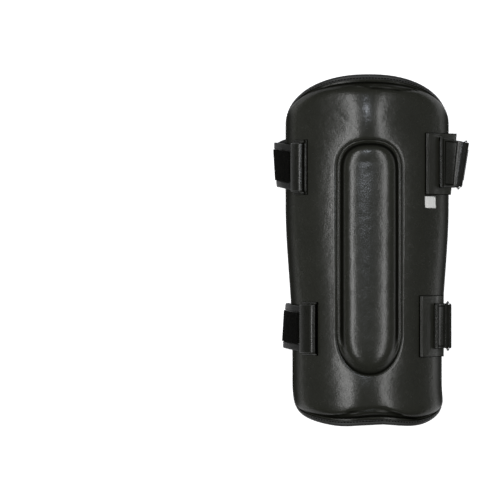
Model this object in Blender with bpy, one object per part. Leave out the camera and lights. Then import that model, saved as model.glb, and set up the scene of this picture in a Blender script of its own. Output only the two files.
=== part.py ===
"""A padded leather shin guard lying face up on its two closed back straps.

Lengths are in millimetres until a mesh is made. X runs across the guard, Y up its length and Z up
from the surface it lies on. The guard's own middle line is shifted so that the origin is under the
middle of the whole part.
"""

import math

import bmesh
import bpy
from mathutils import Vector

MM = 0.001

# Front panel, seen from the front
BODY_LENGTH = 349.0
TOP_HALF_WIDTH = 82.6
FOOT_HALF_WIDTH = 75.7
TAPER_START = 45.0  # height above the middle where the sides begin to close in
TAPER_END = -95.0
TOP_CORNER_RISE = 48.0
TOP_CORNER_POWER = 2.3
FOOT_CORNER_RISE = 29.0
FOOT_CORNER_POWER = 3.6

# Section across the guard
RIM_SAG = 34.0  # how far the arch falls from the middle to the side seam
SEAM_INSET = 2.6
PAD_THICKNESS = 14.0
SIDE_RIM = 10.5  # outline to the lining, along the sides
END_RIM = 8.0  # outline to the panel's seam, along the top and the foot
LINING_THICKNESS = 2.0
LINING_INSET = 0.6
PIECE_GAP = 0.3
SEAT_GAP = 0.75  # under a strap that crosses the arched panel

# Moulded ridge
RIDGE_HALF_WIDTH = 32.4
RIDGE_TOP_MARGIN = 65.1  # from the guard's top end
RIDGE_FOOT_MARGIN = 51.3
RIDGE_TOP_RISE = 31.0
RIDGE_FOOT_RISE = 43.0
RIDGE_TOP_POWER = 2.5
RIDGE_FOOT_POWER = 2.1
RIDGE_HEIGHT = 9.5

# Straps
STRAP_WIDTH = 45.0
STRAP_THICKNESS = 2.4
STRAP_EDGE_THICKNESS = 1.0  # where the binding wraps it
STRAP_BINDING = 6.6
STRAP_BINDING_WALL = 0.4
STRAP_BINDING_SINK = 0.02  # below the strap's own face
TAPE_THICKNESS = 0.9
TAPE_CLEAR = 0.3  # from the tape's edge to the strap's binding
TAPE_WIDTH = STRAP_WIDTH - 2 * (STRAP_BINDING + TAPE_CLEAR)
TAPE_START = 3.0  # from the end cover to the loop tape
TAPE_PAST_HOOKS = 6.0
HOOK_LENGTH = 62.0
HOOK_WIDTH = TAPE_WIDTH * 0.8
PATCH_START = 16.4  # from the ring's bar to the woven patch, on the folded end
PATCH_CLEAR = 15.0  # from the hook tape to the woven patch
PATCH_THICKNESS = 0.5
LOOP_THICKNESS = 1.5
TAB_THICKNESS = 1.6
COVER_THICKNESS = 1.6
COVER_MARGIN = 1.4  # the cover's ease round the strap before it dips to the panel
COVER_DIP = 1.6  # width of the dip
COVER_LAP = 2.0  # how far the cover reaches past the strap's fixed end
RING_WIRE = 2.4
RING_SPAN = 12.0  # from the middle of one long bar to the other
RING_SIDE_GAP = 0.5
RING_SIDES = 8
LOOP_BAR_WIDTH = 44.0  # of a ring loop where it goes round the bar
LIFT_SHARE = 0.87  # how far out on the panel the anchor tabs lift off it
TURN_RISE = 4.5  # from the top of the stack under the pad to the strap's left turn
BAR_RISE = 7.5  # from the strap's straight run to the ring's lower bar

# How the strap bends along its route
STEP_RUN = 12.0  # in which it passes from one layer onto the next
ENTRY_RUN = 20.0  # from the side seam to where it lies flat
RIM_RUN = 8.0  # that it lies along the rim, under the seam
RIM_DIP = 1.4  # below its straight run, to clear the rim
BAR_RUN = 2.4  # in front of the ring's bar, where it starts to rise
TURN_TUCK = 2.0  # how far a turn leans in under itself

# Each strap: the end it is measured from and how far its middle is from it, how far its back bows,
# how far it stands out past the sides, its end cover, the lengths of the anchor tab and the ring
# loop and the tab's clearance, all from the ring's bar, the loop's width and how far it sits above
# the strap's middle, the length folded back from the bar to the rounded tip, and how much its two
# sides lean in plan
STRAPS = {
    "upper": dict(
        end=1, from_end=88.5, bow=14.0, past_left=11.0, past_right=16.6, cover_inset=8.4,
        cover_width=11.8, cover_shift=-3.5, cover_height=55.0, tab_length=39.4, tab_clear=8.8,
        tab_height=61.5, loop_length=25.6, loop_width=51.0, loop_shift=1.5, fold_length=136.3,
        lean_left=-0.06, lean_right=0.16, patch=True,
    ),
    "lower": dict(
        end=-1, from_end=98.5, bow=-4.0, past_left=8.6, past_right=8.9, cover_inset=10.7,
        cover_width=13.3, cover_shift=-2.4, cover_height=53.3, tab_length=31.2, tab_clear=4.6,
        tab_height=61.5, loop_length=16.4, loop_width=45.2, loop_shift=0.0, fold_length=85.8,
        lean_left=0.06, lean_right=0.0, patch=False,
    ),
}

# Size label, a bare woven strip under the upper anchor tab
LABEL_WIDTH = 11.4
LABEL_LENGTH = 12.0
LABEL_CLEAR = 1.6  # from the tab to the label
LABEL_THICKNESS = 0.5
LABEL_INSET = 20.4  # from the side outline to the label's middle
LABEL_STEPS = 3

# Points round the outline: a quarter's corner and a side
CORNER_POINTS = 7
SIDE_POINTS = 10

# Ridge from its middle to its outer groove: share of the half width, share of the height
RIDGE_ROWS = (
    dict(across=0.16, height=1.00),
    dict(across=0.42, height=0.97),
    dict(across=0.62, height=0.88),
    dict(across=0.76, height=0.70),
    dict(across=0.83, height=0.42),
    dict(across=0.87, height=0.12),
    dict(across=0.92, height=0.22),
    dict(across=0.97, height=0.10),
    dict(across=1.00, height=-0.16),
)

# Panel from the ridge to the shoulder: share of the way, share of the ridge's height
PANEL_ROWS = (
    dict(out=0.06, height=0.03),
    dict(out=0.16, height=0.05),
    dict(out=0.38, height=0.0),
    dict(out=0.62, height=0.0),
    dict(out=0.84, height=0.0),
)

# Rim from the shoulder round the flange to the lining. Insets are shares of SIDE_RIM and END_RIM,
# depths are shares of PAD_THICKNESS.
RIM_ROWS = (
    dict(side_in=1.30, end_in=2.50, side_deep=0.00, end_deep=0.00),
    dict(side_in=0.95, end_in=1.85, side_deep=0.00, end_deep=0.02),
    dict(side_in=0.57, end_in=1.45, side_deep=0.02, end_deep=0.10),
    dict(side_in=0.29, end_in=1.19, side_deep=0.04, end_deep=0.33),
    dict(side_in=0.11, end_in=1.08, side_deep=0.07, end_deep=0.58),
    dict(side_in=0.04, end_in=1.03, side_deep=0.16, end_deep=0.70),
    dict(side_in=0.10, end_in=1.00, side_deep=0.30, end_deep=0.75),
    dict(side_in=0.27, end_in=0.93, side_deep=0.37, end_deep=0.785),
    dict(side_in=0.24, end_in=0.15, side_deep=0.61, end_deep=0.785),
    dict(side_in=0.45, end_in=0.15, side_deep=0.74, end_deep=0.94),
    dict(side_in=0.47, end_in=0.93, side_deep=0.50, end_deep=0.94),
    dict(side_in=0.76, end_in=1.12, side_deep=0.70, end_deep=0.97),
    dict(side_in=1.00, end_in=1.20, side_deep=1.00, end_deep=1.00),
)

# Edge binding round the flange, one closed channel in the same shares
BINDING_ROWS = (
    dict(side_in=0.124, end_in=0.70, side_deep=0.360, end_deep=0.704),
    dict(side_in=0.114, end_in=0.11, side_deep=0.561, end_deep=0.704),
    dict(side_in=0.210, end_in=0.012, side_deep=0.657, end_deep=0.771),
    dict(side_in=0.476, end_in=0.012, side_deep=0.830, end_deep=0.957),
    dict(side_in=0.562, end_in=0.11, side_deep=0.850, end_deep=1.029),
    dict(side_in=0.562, end_in=0.70, side_deep=0.655, end_deep=1.029),
    dict(side_in=0.490, end_in=0.70, side_deep=0.610, end_deep=0.968),
    dict(side_in=0.476, end_in=0.106, side_deep=0.774, end_deep=0.968),
    dict(side_in=0.210, end_in=0.106, side_deep=0.603, end_deep=0.761),
    dict(side_in=0.224, end_in=0.70, side_deep=0.420, end_deep=0.761),
)

# Inner face of the pad and the lining: share of the way from the rim to the ridge's outline, then
# share of the ridge's half width
INNER_OUT = (0.66, 0.33, 0.0)
INNER_ACROSS = (0.60, 0.20)

# Anchor tab from the panel to the ring: share of the way out, share of the way up, share of the
# panel's slope that it still follows
ANCHOR_ROWS = (
    dict(out=0.25, up=0.42, hug=0.675),
    dict(out=0.55, up=0.72, hug=0.285),
    dict(out=1.0, up=1.0, hug=0.0),
)

# Ring loop round the bar: points, and the share of a half turn that it closes past it
LOOP_POINTS = 7
LOOP_CLOSING = 0.06

# Leather folds: middle across (share of the half width), inset from the end (share of END_RIM),
# half length across, width along and depth (shares of END_RIM)
FOLDS = (
    dict(end=-1, across=0.05, inset=1.95, length=4.6, width=0.34, depth=0.16),
    dict(end=1, across=0.28, inset=1.75, length=3.6, width=0.30, depth=0.14),
    dict(end=1, across=-0.26, inset=1.45, length=2.2, width=0.30, depth=0.10),
)


def smooth_step(share):
    share = min(1.0, max(0.0, share))
    return share * share * (3 - 2 * share)


def half_width(y):
    return TOP_HALF_WIDTH + (FOOT_HALF_WIDTH - TOP_HALF_WIDTH) * smooth_step(
        (TAPER_START - y) / (TAPER_START - TAPER_END)
    )


def arch_radius(y):
    """The radius that lets both side seams lie level along the whole length."""
    reach = half_width(y) - SEAM_INSET
    return (reach * reach + RIM_SAG * RIM_SAG) / (2 * RIM_SAG)


def arch_depth(x, y, below=0.0):
    """Depth under the panel's top of a point that lies `below` the arch, measured square to it."""
    radius = arch_radius(y)
    rise = math.sqrt(radius * radius - x * x)
    return radius - rise + below * radius / rise


def half_ring(right_x, top, foot, top_rise, foot_rise, top_power, foot_power):
    """The right half of an outline, from the foot's middle up to the top's, with each point's share
    of the way from its side to its end."""
    points = []
    quarter = [(i + 0.5) / CORNER_POINTS * math.pi / 2 for i in range(CORNER_POINTS)]
    for angle in reversed(quarter):
        along = math.sin(angle) ** (2 / foot_power)
        across = math.cos(angle) ** (2 / foot_power)
        y = foot + foot_rise * (1 - along)
        points.append((right_x(y) * across, y, along))
    for i in range(SIDE_POINTS):
        low = foot + foot_rise
        high = top - top_rise
        y = low + (high - low) * i / (SIDE_POINTS - 1)
        points.append((right_x(y), y, 0.0))
    for angle in quarter:
        along = math.sin(angle) ** (2 / top_power)
        across = math.cos(angle) ** (2 / top_power)
        y = top - top_rise * (1 - along)
        points.append((right_x(y) * across, y, along))
    return points


def body_half(side_in, end_in):
    return half_ring(
        lambda y: half_width(y) - side_in,
        BODY_LENGTH / 2 - end_in,
        -BODY_LENGTH / 2 + end_in,
        TOP_CORNER_RISE - end_in,
        FOOT_CORNER_RISE - end_in,
        TOP_CORNER_POWER,
        FOOT_CORNER_POWER,
    )


def ridge_half(share=1.0):
    top_middle = BODY_LENGTH / 2 - RIDGE_TOP_MARGIN - RIDGE_TOP_RISE
    foot_middle = -BODY_LENGTH / 2 + RIDGE_FOOT_MARGIN + RIDGE_FOOT_RISE
    return half_ring(
        lambda y: RIDGE_HALF_WIDTH * share,
        top_middle + RIDGE_TOP_RISE * share,
        foot_middle - RIDGE_FOOT_RISE * share,
        RIDGE_TOP_RISE * share,
        RIDGE_FOOT_RISE * share,
        RIDGE_TOP_POWER,
        RIDGE_FOOT_POWER,
    )


def fold_depth(x, y):
    depth = 0.0
    for fold in FOLDS:
        middle_x = fold["across"] * half_width(y)
        middle_y = fold["end"] * (BODY_LENGTH / 2 - fold["inset"] * END_RIM)
        away_x = (x - middle_x) / (fold["length"] * END_RIM)
        away_y = (y - middle_y) / (fold["width"] * END_RIM)
        if abs(away_x) < 1:
            depth += fold["depth"] * END_RIM * (1 - away_x * away_x) * math.exp(-away_y * away_y)
    return depth


def whole_ring(half):
    """The half ring and its mirror, as one closed loop."""
    return half + [(-x, y, z) for x, y, z in reversed(half)]


def rim_ring(row, extra=0.0):
    """A loop of the rim: each point's inset and depth blend from the side's to the end's."""
    half = []
    flat = body_half(row["side_in"] * SIDE_RIM, row["end_in"] * END_RIM)
    for x, y, along in flat:
        end = along * along
        deep = row["side_deep"] * (1 - end) + row["end_deep"] * end
        depth = arch_depth(x, y, deep * PAD_THICKNESS + extra) + fold_depth(x, y) * (deep < 0.5)
        half.append((x, y, top_level - depth))
    return whole_ring(half)


def inner_rings(below, inset):
    """Loops over the inner face, from the rim to the middle."""
    last = RIM_ROWS[-1]
    outer = body_half(last["side_in"] * SIDE_RIM + inset, last["end_in"] * END_RIM + inset)
    rings = [whole_ring([(x, y, top_level - arch_depth(x, y, below)) for x, y, _ in outer])]
    for out in INNER_OUT:
        half = []
        for (rim_x, rim_y, _), (mid_x, mid_y, _) in zip(outer, ridge_half()):
            x = mid_x + (rim_x - mid_x) * out
            y = mid_y + (rim_y - mid_y) * out
            half.append((x, y, top_level - arch_depth(x, y, below)))
        rings.append(whole_ring(half))
    for across in INNER_ACROSS:
        half = [(x, y, top_level - arch_depth(x, y, below)) for x, y, _ in ridge_half(across)]
        rings.append(whole_ring(half))
    return rings


def ladder(first, count, flip=False):
    """Faces across a loop of mirrored points, rung by rung."""
    faces = []
    for i in range(count // 2 - 1):
        face = (first + i, first + i + 1, first + count - 2 - i, first + count - 1 - i)
        faces.append(tuple(reversed(face)) if flip else face)
    return faces


def joined_rings(rings, closed):
    """Faces between neighbouring loops. A closed run joins its last loop to its first; an open one
    is filled across at both ends."""
    count = len(rings[0])
    faces = []
    last = len(rings) if closed else len(rings) - 1
    for row in range(last):
        here = row * count
        there = (row + 1) % len(rings) * count
        for i in range(count):
            j = (i + 1) % count
            faces.append((here + i, here + j, there + j, there + i))
    if not closed:
        faces += ladder(0, count)
        faces += ladder((len(rings) - 1) * count, count, flip=True)
    return faces


def material(name, colour, roughness, metallic=0.0):
    made = bpy.data.materials.new(name)
    made.use_nodes = True
    shader = made.node_tree.nodes["Principled BSDF"]
    shader.inputs["Base Color"].default_value = (*colour, 1.0)
    shader.inputs["Roughness"].default_value = roughness
    shader.inputs["Metallic"].default_value = metallic
    made.diffuse_color = (*colour, 1.0)
    return made


def add_piece(name, points, faces, finish, sharp_angle=35.0):
    mesh = bpy.data.meshes.new(name)
    placed = [((x + middle_line) * MM, y * MM, z * MM) for x, y, z in points]
    mesh.from_pydata(placed, [], faces)
    shape = bmesh.new()
    shape.from_mesh(mesh)
    bmesh.ops.triangulate(shape, faces=shape.faces[:])
    bmesh.ops.recalc_face_normals(shape, faces=shape.faces[:])
    shape.to_mesh(mesh)
    shape.free()
    mesh.shade_smooth()
    mesh.set_sharp_from_angle(angle=math.radians(sharp_angle))
    mesh.materials.append(finish)
    piece = bpy.data.objects.new(name, mesh)
    bpy.context.collection.objects.link(piece)
    return piece


def add_rings(name, rings, finish, closed=False):
    return add_piece(name, [p for ring in rings for p in ring], joined_rings(rings, closed), finish)


def make_front_pad():
    rings = []
    for row in RIDGE_ROWS:
        half = ridge_half(row["across"])
        height = row["height"] * RIDGE_HEIGHT
        rings.append(
            whole_ring([(x, y, top_level + height - arch_depth(x, y)) for x, y, _ in half])
        )
    shoulder = RIM_ROWS[0]
    outer = body_half(shoulder["side_in"] * SIDE_RIM, shoulder["end_in"] * END_RIM)
    for row in PANEL_ROWS:
        half = []
        for (rim_x, rim_y, _), (mid_x, mid_y, _) in zip(outer, ridge_half()):
            x = mid_x + (rim_x - mid_x) * row["out"]
            y = mid_y + (rim_y - mid_y) * row["out"]
            z = top_level + row["height"] * RIDGE_HEIGHT - arch_depth(x, y) - fold_depth(x, y)
            half.append((x, y, z))
        rings.append(whole_ring(half))
    rings += [rim_ring(row) for row in RIM_ROWS]
    rings += inner_rings(PAD_THICKNESS, 0.0)[1:]
    add_rings("front_pad", rings, leather)


def make_back_lining():
    near = PAD_THICKNESS + PIECE_GAP
    far = near + LINING_THICKNESS
    outer_face = inner_rings(near, LINING_INSET)
    inner_face = inner_rings(far, LINING_INSET)
    add_rings("back_lining", list(reversed(outer_face)) + inner_face, lining)


def make_edge_binding():
    add_rings("edge_binding", [rim_ring(row) for row in BINDING_ROWS], binding, closed=True)


def panel_point(x, y, above):
    """A point at a height square above the panel."""
    radius = arch_radius(y)
    lean = x / radius
    return (
        x + above * lean,
        y,
        top_level - arch_depth(x, y) + above * math.sqrt(1 - lean * lean),
    )


def level_slope(before, after):
    """The slope through a point that never carries the curve past its neighbours."""
    if before * after <= 0:
        return 0.0
    return 2 * before * after / (before + after)


def curve_through(stations, steps):
    """A smooth curve through stations of equal length tuples, `steps` to each stretch. It doesn't
    swing past a station, so a flat stretch stays flat."""
    runs = [[b - a for a, b in zip(p, q)] for p, q in zip(stations, stations[1:])]
    slopes = [runs[0]]
    slopes += [[level_slope(a, b) for a, b in zip(p, q)] for p, q in zip(runs, runs[1:])]
    slopes += [runs[-1]]
    points = []
    for i, (here, there) in enumerate(zip(stations, stations[1:])):
        for step in range(steps):
            t = step / steps
            keep = (1 + 2 * t) * (1 - t) * (1 - t)
            leave = t * (1 - t) * (1 - t)
            arrive = t * t * (t - 1)
            points.append(
                tuple(
                    a * keep + b * (1 - keep) + u * leave + v * arrive
                    for a, b, u, v in zip(here, there, slopes[i], slopes[i + 1])
                )
            )
    points.append(tuple(stations[-1]))
    return points


def without_flats(points, least_turn=5.2, longest=30.0):
    """The points of a route without those where it hardly turns."""
    kept = [points[0]]
    for here, ahead in zip(points[1:], points[2:]):
        back = Vector((here[0] - kept[-1][0], here[1] - kept[-1][1]))
        on = Vector((ahead[0] - here[0], ahead[1] - here[1]))
        if math.degrees(back.angle(on)) > least_turn or (back + on).length > longest:
            kept.append(here)
    return kept + [points[-1]]


class Ribbon:
    """A flat band along a route in X and Z, with its width along Y. The route's stations are
    (x, z, middle y, lean in plan, share of the panel's own slope that it follows)."""

    def __init__(self, stations):
        self.stations = stations
        self.length = [0.0]
        for a, b in zip(stations, stations[1:]):
            self.length.append(self.length[-1] + math.hypot(b[0] - a[0], b[1] - a[1]))
        self.normal = []
        last = len(stations) - 1
        for i in range(len(stations)):
            a = stations[max(0, i - 1)]
            b = stations[min(last, i + 1)]
            size = math.hypot(b[0] - a[0], b[1] - a[1])
            self.normal.append(((b[1] - a[1]) / size, -(b[0] - a[0]) / size))

    def between(self, along):
        """The station and the normal at a length along the ribbon."""
        along = min(max(along, 0.0), self.length[-1])
        i = 0
        while i < len(self.length) - 2 and self.length[i + 1] < along:
            i += 1
        share = (along - self.length[i]) / (self.length[i + 1] - self.length[i])
        station = [a + (b - a) * share for a, b in zip(self.stations[i], self.stations[i + 1])]
        normal = [a + (b - a) * share for a, b in zip(self.normal[i], self.normal[i + 1])]
        return station, normal

    def at(self, along, across, out):
        """The point at a length along the ribbon, a distance across it and a height off it."""
        (x, z, middle, lean, hug), (nx, nz) = self.between(along)
        y = middle + across
        drop = arch_depth(x, y) - arch_depth(x, middle) if hug > 0 else 0.0
        return (x + out * nx + lean * across, y, z + out * nz - hug * drop)

    def length_at(self, x, first=0):
        """The length along the ribbon where it first passes x, after the station `first`."""
        for i in range(first, len(self.stations) - 1):
            a = self.stations[i][0]
            b = self.stations[i + 1][0]
            if min(a, b) <= x <= max(a, b) and a != b:
                return self.length[i] + (self.length[i + 1] - self.length[i]) * (x - a) / (b - a)
        raise ValueError(f"the ribbon never passes {x}")

    def stops(self, start, end, nearest=0.4):
        between = [s for s in self.length if start + nearest < s < end - nearest]
        return [start] + between + [end]


def add_plate(name, ribbon, start, end, width_at, low, high, finish):
    """A plain strip of the ribbon between two lengths, with its width at each X."""
    rings = []
    for along in ribbon.stops(start, end):
        edge = width_at(ribbon.between(along)[0][0]) / 2
        corners = ((-edge, low), (edge, low), (edge, high), (-edge, high))
        rings.append([ribbon.at(along, across, out) for across, out in corners])
    faces = []
    for row in range(len(rings) - 1):
        for i in range(4):
            j = (i + 1) % 4
            faces.append((row * 4 + i, row * 4 + j, row * 4 + 4 + j, row * 4 + 4 + i))
    last = len(rings) * 4 - 4
    faces.append((3, 2, 1, 0))
    faces.append((last, last + 1, last + 2, last + 3))
    return add_piece(name, [p for ring in rings for p in ring], faces, finish)


TIP_POINTS = 8


def strap_edge(ribbon, inset, out):
    """The strap's edge at an inset and a height: up one side, round the tip and back."""
    radius = STRAP_WIDTH / 2
    straight = ribbon.stops(0.0, ribbon.length[-1] - radius)
    half = [(along, radius - inset) for along in straight]
    for i in range(1, TIP_POINTS):
        angle = math.pi / 2 * (1 - (i - 0.5) / (TIP_POINTS - 1))
        half.append(
            (
                straight[-1] + (radius - inset) * math.cos(angle),
                (radius - inset) * math.sin(angle),
            )
        )
    edge = half + [(along, -across) for along, across in reversed(half)]
    return [ribbon.at(along, across, out) for along, across in edge]


def open_rows(rows, closed):
    """Faces between open rows of points, with their two ends capped. Open rows that aren't a
    closed channel are also filled across from side to side."""
    count = len(rows[0])
    faces = []
    last = len(rows) if closed else len(rows) - 1
    for row in range(last):
        here = row * count
        there = (row + 1) % len(rows) * count
        for i in range(count - 1):
            faces.append((here + i, here + i + 1, there + i + 1, there + i))
    starts = [row * count for row in range(len(rows))]
    ends = [row * count + count - 1 for row in range(len(rows))]
    if closed:
        faces.append(tuple(reversed(starts)))
        faces.append(tuple(ends))
    else:
        faces += ladder(0, count)
        faces += ladder(starts[-1], count, flip=True)
        faces.append(tuple(starts + list(reversed(ends))))
    return faces


def make_strap_band(name, ribbon):
    middle = STRAP_THICKNESS / 2
    edge = STRAP_EDGE_THICKNESS / 2
    inner = STRAP_BINDING + PIECE_GAP
    outer = STRAP_BINDING_WALL + PIECE_GAP
    section = ((inner, middle), (inner, edge), (outer, edge))
    rows = [strap_edge(ribbon, inset, out) for inset, out in section]
    rows += [strap_edge(ribbon, inset, -out) for inset, out in reversed(section)]
    add_piece(name, [p for row in rows for p in row], open_rows(rows, False), leather)


def make_strap_binding(name, ribbon):
    outside = STRAP_THICKNESS / 2 - STRAP_BINDING_SINK
    inside = STRAP_EDGE_THICKNESS / 2 + PIECE_GAP
    section = (
        (STRAP_BINDING, inside),
        (STRAP_BINDING, outside),
        (0.0, outside),
        (0.0, -outside),
        (STRAP_BINDING, -outside),
        (STRAP_BINDING, -inside),
        (STRAP_BINDING_WALL, -inside),
        (STRAP_BINDING_WALL, inside),
    )
    rows = [strap_edge(ribbon, inset, out) for inset, out in section]
    add_piece(name, [p for row in rows for p in row], open_rows(rows, True), binding)


def strap_places(strap):
    """The strap with its places worked out, from the guard's outline and its ends."""
    middle = strap["end"] * (BODY_LENGTH / 2 - strap["from_end"])
    side = half_width(middle)
    bar_x = side + strap["past_right"] - STRAP_THICKNESS - PIECE_GAP - RING_WIRE / 2
    cover_far = side - strap["cover_inset"]
    return dict(
        strap,
        middle=middle,
        side=side,
        reach_left=side + strap["past_left"],
        reach_right=side + strap["past_right"],
        bar_x=bar_x,
        tip=bar_x - strap["fold_length"],
        patch_end=bar_x - strap["fold_length"] + HOOK_LENGTH + PATCH_CLEAR,
        cover_far=cover_far,
        cover_near=cover_far - strap["cover_width"],
        cover_middle=middle + strap["cover_shift"],
        tab_near=bar_x - strap["tab_length"],
        tab_far=bar_x - strap["tab_clear"],
        loop_near=bar_x - strap["loop_length"],
    )


def bowed(strap, x):
    """The strap's middle height where it passes x on the back."""
    share = x / strap["reach_left"]
    return strap["middle"] + strap["bow"] * (1 - share * share)


def left_turn(strap):
    """Stations from under the end cover, off the panel, down the left side and in under the rim."""
    half = STRAP_THICKNESS / 2
    seat = SEAT_GAP + half
    low = half + TAPE_THICKNESS + PIECE_GAP
    left = low - strap["reach_left"]
    side = -strap["side"]
    lean = strap["lean_left"]
    stations = []
    for i in range(3):
        reach = strap["cover_near"] + (strap["cover_far"] - strap["cover_near"]) * i / 3
        x, _, z = panel_point(-reach, strap["cover_middle"], seat)
        stations.append((x, z, strap["cover_middle"], 0.0, 1.0))
    lift_x, _, lift_z = panel_point(-strap["cover_far"] - PIECE_GAP, strap["middle"], seat)
    stations.append((lift_x, lift_z, strap["cover_middle"], 0.0, 1.0))
    off_panel = ((lift_x + left * 2) / 3, (lift_z + turn_level) / 2)
    stations.append((*off_panel, strap["middle"] - half, lean / 2, 0.9))
    stations.append((left, turn_level, strap["middle"], lean, 0.0))
    stations.append((left + TURN_TUCK, turn_level / 2, strap["middle"], lean, 0.0))
    for x, z, slant in (
        (side - half, span_level - RIM_DIP, lean / 2),
        (side + RIM_RUN, span_level - RIM_DIP, 0.0),
        (side + ENTRY_RUN, low, 0.0),
    ):
        stations.append((x, z, bowed(strap, x), slant, 0.0))
    return stations


def back_run(strap):
    """Stations across the back: on the surface, then up a step onto the folded end."""
    low = STRAP_THICKNESS / 2 + TAPE_THICKNESS + PIECE_GAP
    tip = strap["tip"]
    entry = ENTRY_RUN - strap["side"]
    places = (
        ((entry + tip - STEP_RUN) / 2, low),
        (tip - STEP_RUN, low),
        (tip - PIECE_GAP, span_level),
        (tip + STEP_RUN, span_level),
        (strap["side"] / 2, span_level),
        (strap["side"] - RIM_RUN / 2, span_level),
    )
    return [(x, z, bowed(strap, x), 0.0, 0.0) for x, z in places]


def right_turn(strap):
    """Stations through the ring, round its lower bar and down onto the surface."""
    half = STRAP_THICKNESS / 2
    bar_x = strap["bar_x"]
    lean = strap["lean_right"]
    middle = bowed(strap, bar_x)
    fold = RING_WIRE / 2 + PIECE_GAP + half
    stations = [
        (bar_x - fold - BAR_RUN, span_level + half / 2, middle, lean, 0.0),
        (bar_x - fold - PIECE_GAP, (span_level + bar_level) / 2, middle, lean, 0.0),
    ]
    for i in range(5):
        angle = math.pi * (1 - i / 4)
        x = bar_x + fold * math.cos(angle)
        z = bar_level + fold * math.sin(angle)
        stations.append((x, z, middle, lean, 0.0))
    stations.append((bar_x + fold - TURN_TUCK, bar_level / 2, middle, lean, 0.0))
    return stations + [(bar_x - fold, half * 2, bowed(strap, bar_x - fold), lean, 0.0)]


def folded_end(strap):
    """Stations of the end folded back on the surface, over its woven patch, to its tip."""
    half = STRAP_THICKNESS / 2
    over_patch = half + PATCH_THICKNESS + PIECE_GAP
    start = strap["bar_x"] - PATCH_START
    end = strap["patch_end"]
    places = [(strap["side"] - RIM_RUN / 2, half)]
    if strap["patch"]:
        places = [
            (start + TURN_TUCK, over_patch),
            (end - TURN_TUCK, over_patch),
            (end - TURN_TUCK - RIM_RUN, half),
        ]
    places += [(strap["tip"] + run, half) for run in (STRAP_WIDTH * 2 / 3, STRAP_WIDTH / 3, 0.0)]
    return [(x, z, bowed(strap, x), 0.0, 0.0) for x, z in places]


def strap_route(strap):
    """The strap's middle plane: from under its cover, down the left side, under the guard, up
    through the ring, over its lower bar and back on the outside to its rounded tip."""
    stations = left_turn(strap) + back_run(strap) + right_turn(strap) + folded_end(strap)
    return Ribbon(without_flats(curve_through(stations, 2)))


def make_end_cover(name, strap):
    """The strip sewn over the strap's fixed end, dipping to the panel above and below it."""
    near = strap["cover_near"]
    far = strap["cover_far"]
    middle = strap["cover_middle"]
    over = SEAT_GAP + PIECE_GAP + STRAP_THICKNESS
    half = strap["cover_height"] / 2
    ridge = STRAP_WIDTH / 2 + COVER_MARGIN
    steps = (
        (-half, PIECE_GAP),
        (-ridge - COVER_DIP, PIECE_GAP),
        (-ridge, over),
        (-ridge / 3, over),
        (ridge / 3, over),
        (ridge, over),
        (ridge + COVER_DIP, PIECE_GAP),
        (half, PIECE_GAP),
    )
    columns = [near - COVER_LAP + (far - near + COVER_LAP) * i / 4 for i in range(5)]
    low = []
    high = []
    for across, base in steps:
        for x in columns:
            low.append(panel_point(-x, middle + across, base))
            high.append(panel_point(-x, middle + across, base + COVER_THICKNESS))
    add_piece(name, low + high, slab_faces(len(steps), len(columns)), leather)


def slab_faces(rows, columns):
    """Faces of a slab between a lower grid of points and an upper one."""
    faces = []
    size = rows * columns
    for r in range(rows - 1):
        for c in range(columns - 1):
            a = r * columns + c
            quad = (a, a + 1, a + columns + 1, a + columns)
            faces.append(tuple(reversed(quad)))
            faces.append(tuple(size + i for i in quad))
    rim = [c for c in range(columns - 1)]
    rim += [r * columns + columns - 1 for r in range(rows - 1)]
    rim += [(rows - 1) * columns + c for c in range(columns - 1, 0, -1)]
    rim += [r * columns for r in range(rows - 1, 0, -1)]
    for a, b in zip(rim, rim[1:] + rim[:1]):
        faces.append((a, b, size + b, size + a))
    return faces


def anchor_ribbon(strap):
    """The anchor tab's middle plane: sewn to the panel, then lifting off towards the ring so that
    the loop on top of it is in line with the ring's upper bar."""
    middle = strap["middle"]
    height = PIECE_GAP + TAB_THICKNESS / 2
    lift = half_width(middle) * LIFT_SHARE
    stations = []
    for x in (strap["tab_near"], (strap["tab_near"] + lift) / 2, lift):
        px, _, pz = panel_point(x, middle, height)
        stations.append((px, pz, middle, 0.0, 1.0))
    loop_middle = TAB_THICKNESS / 2 + PIECE_GAP * 1.5 + LOOP_THICKNESS
    start_x, start_z = stations[-1][:2]
    for row in ANCHOR_ROWS:
        x = start_x + (strap["bar_x"] - start_x) * row["out"]
        z = start_z + (upper_bar_level - loop_middle - start_z) * row["up"]
        stations.append((x, z, middle, strap["lean_right"] * row["out"], row["hug"]))
    return Ribbon(curve_through(stations, 3))


def make_anchor_tab(name, strap, anchor):
    end = anchor.length_at(strap["tab_far"])
    half = TAB_THICKNESS / 2
    add_plate(name, anchor, 0.0, end, lambda x: strap["tab_height"], -half, half, leather)


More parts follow.
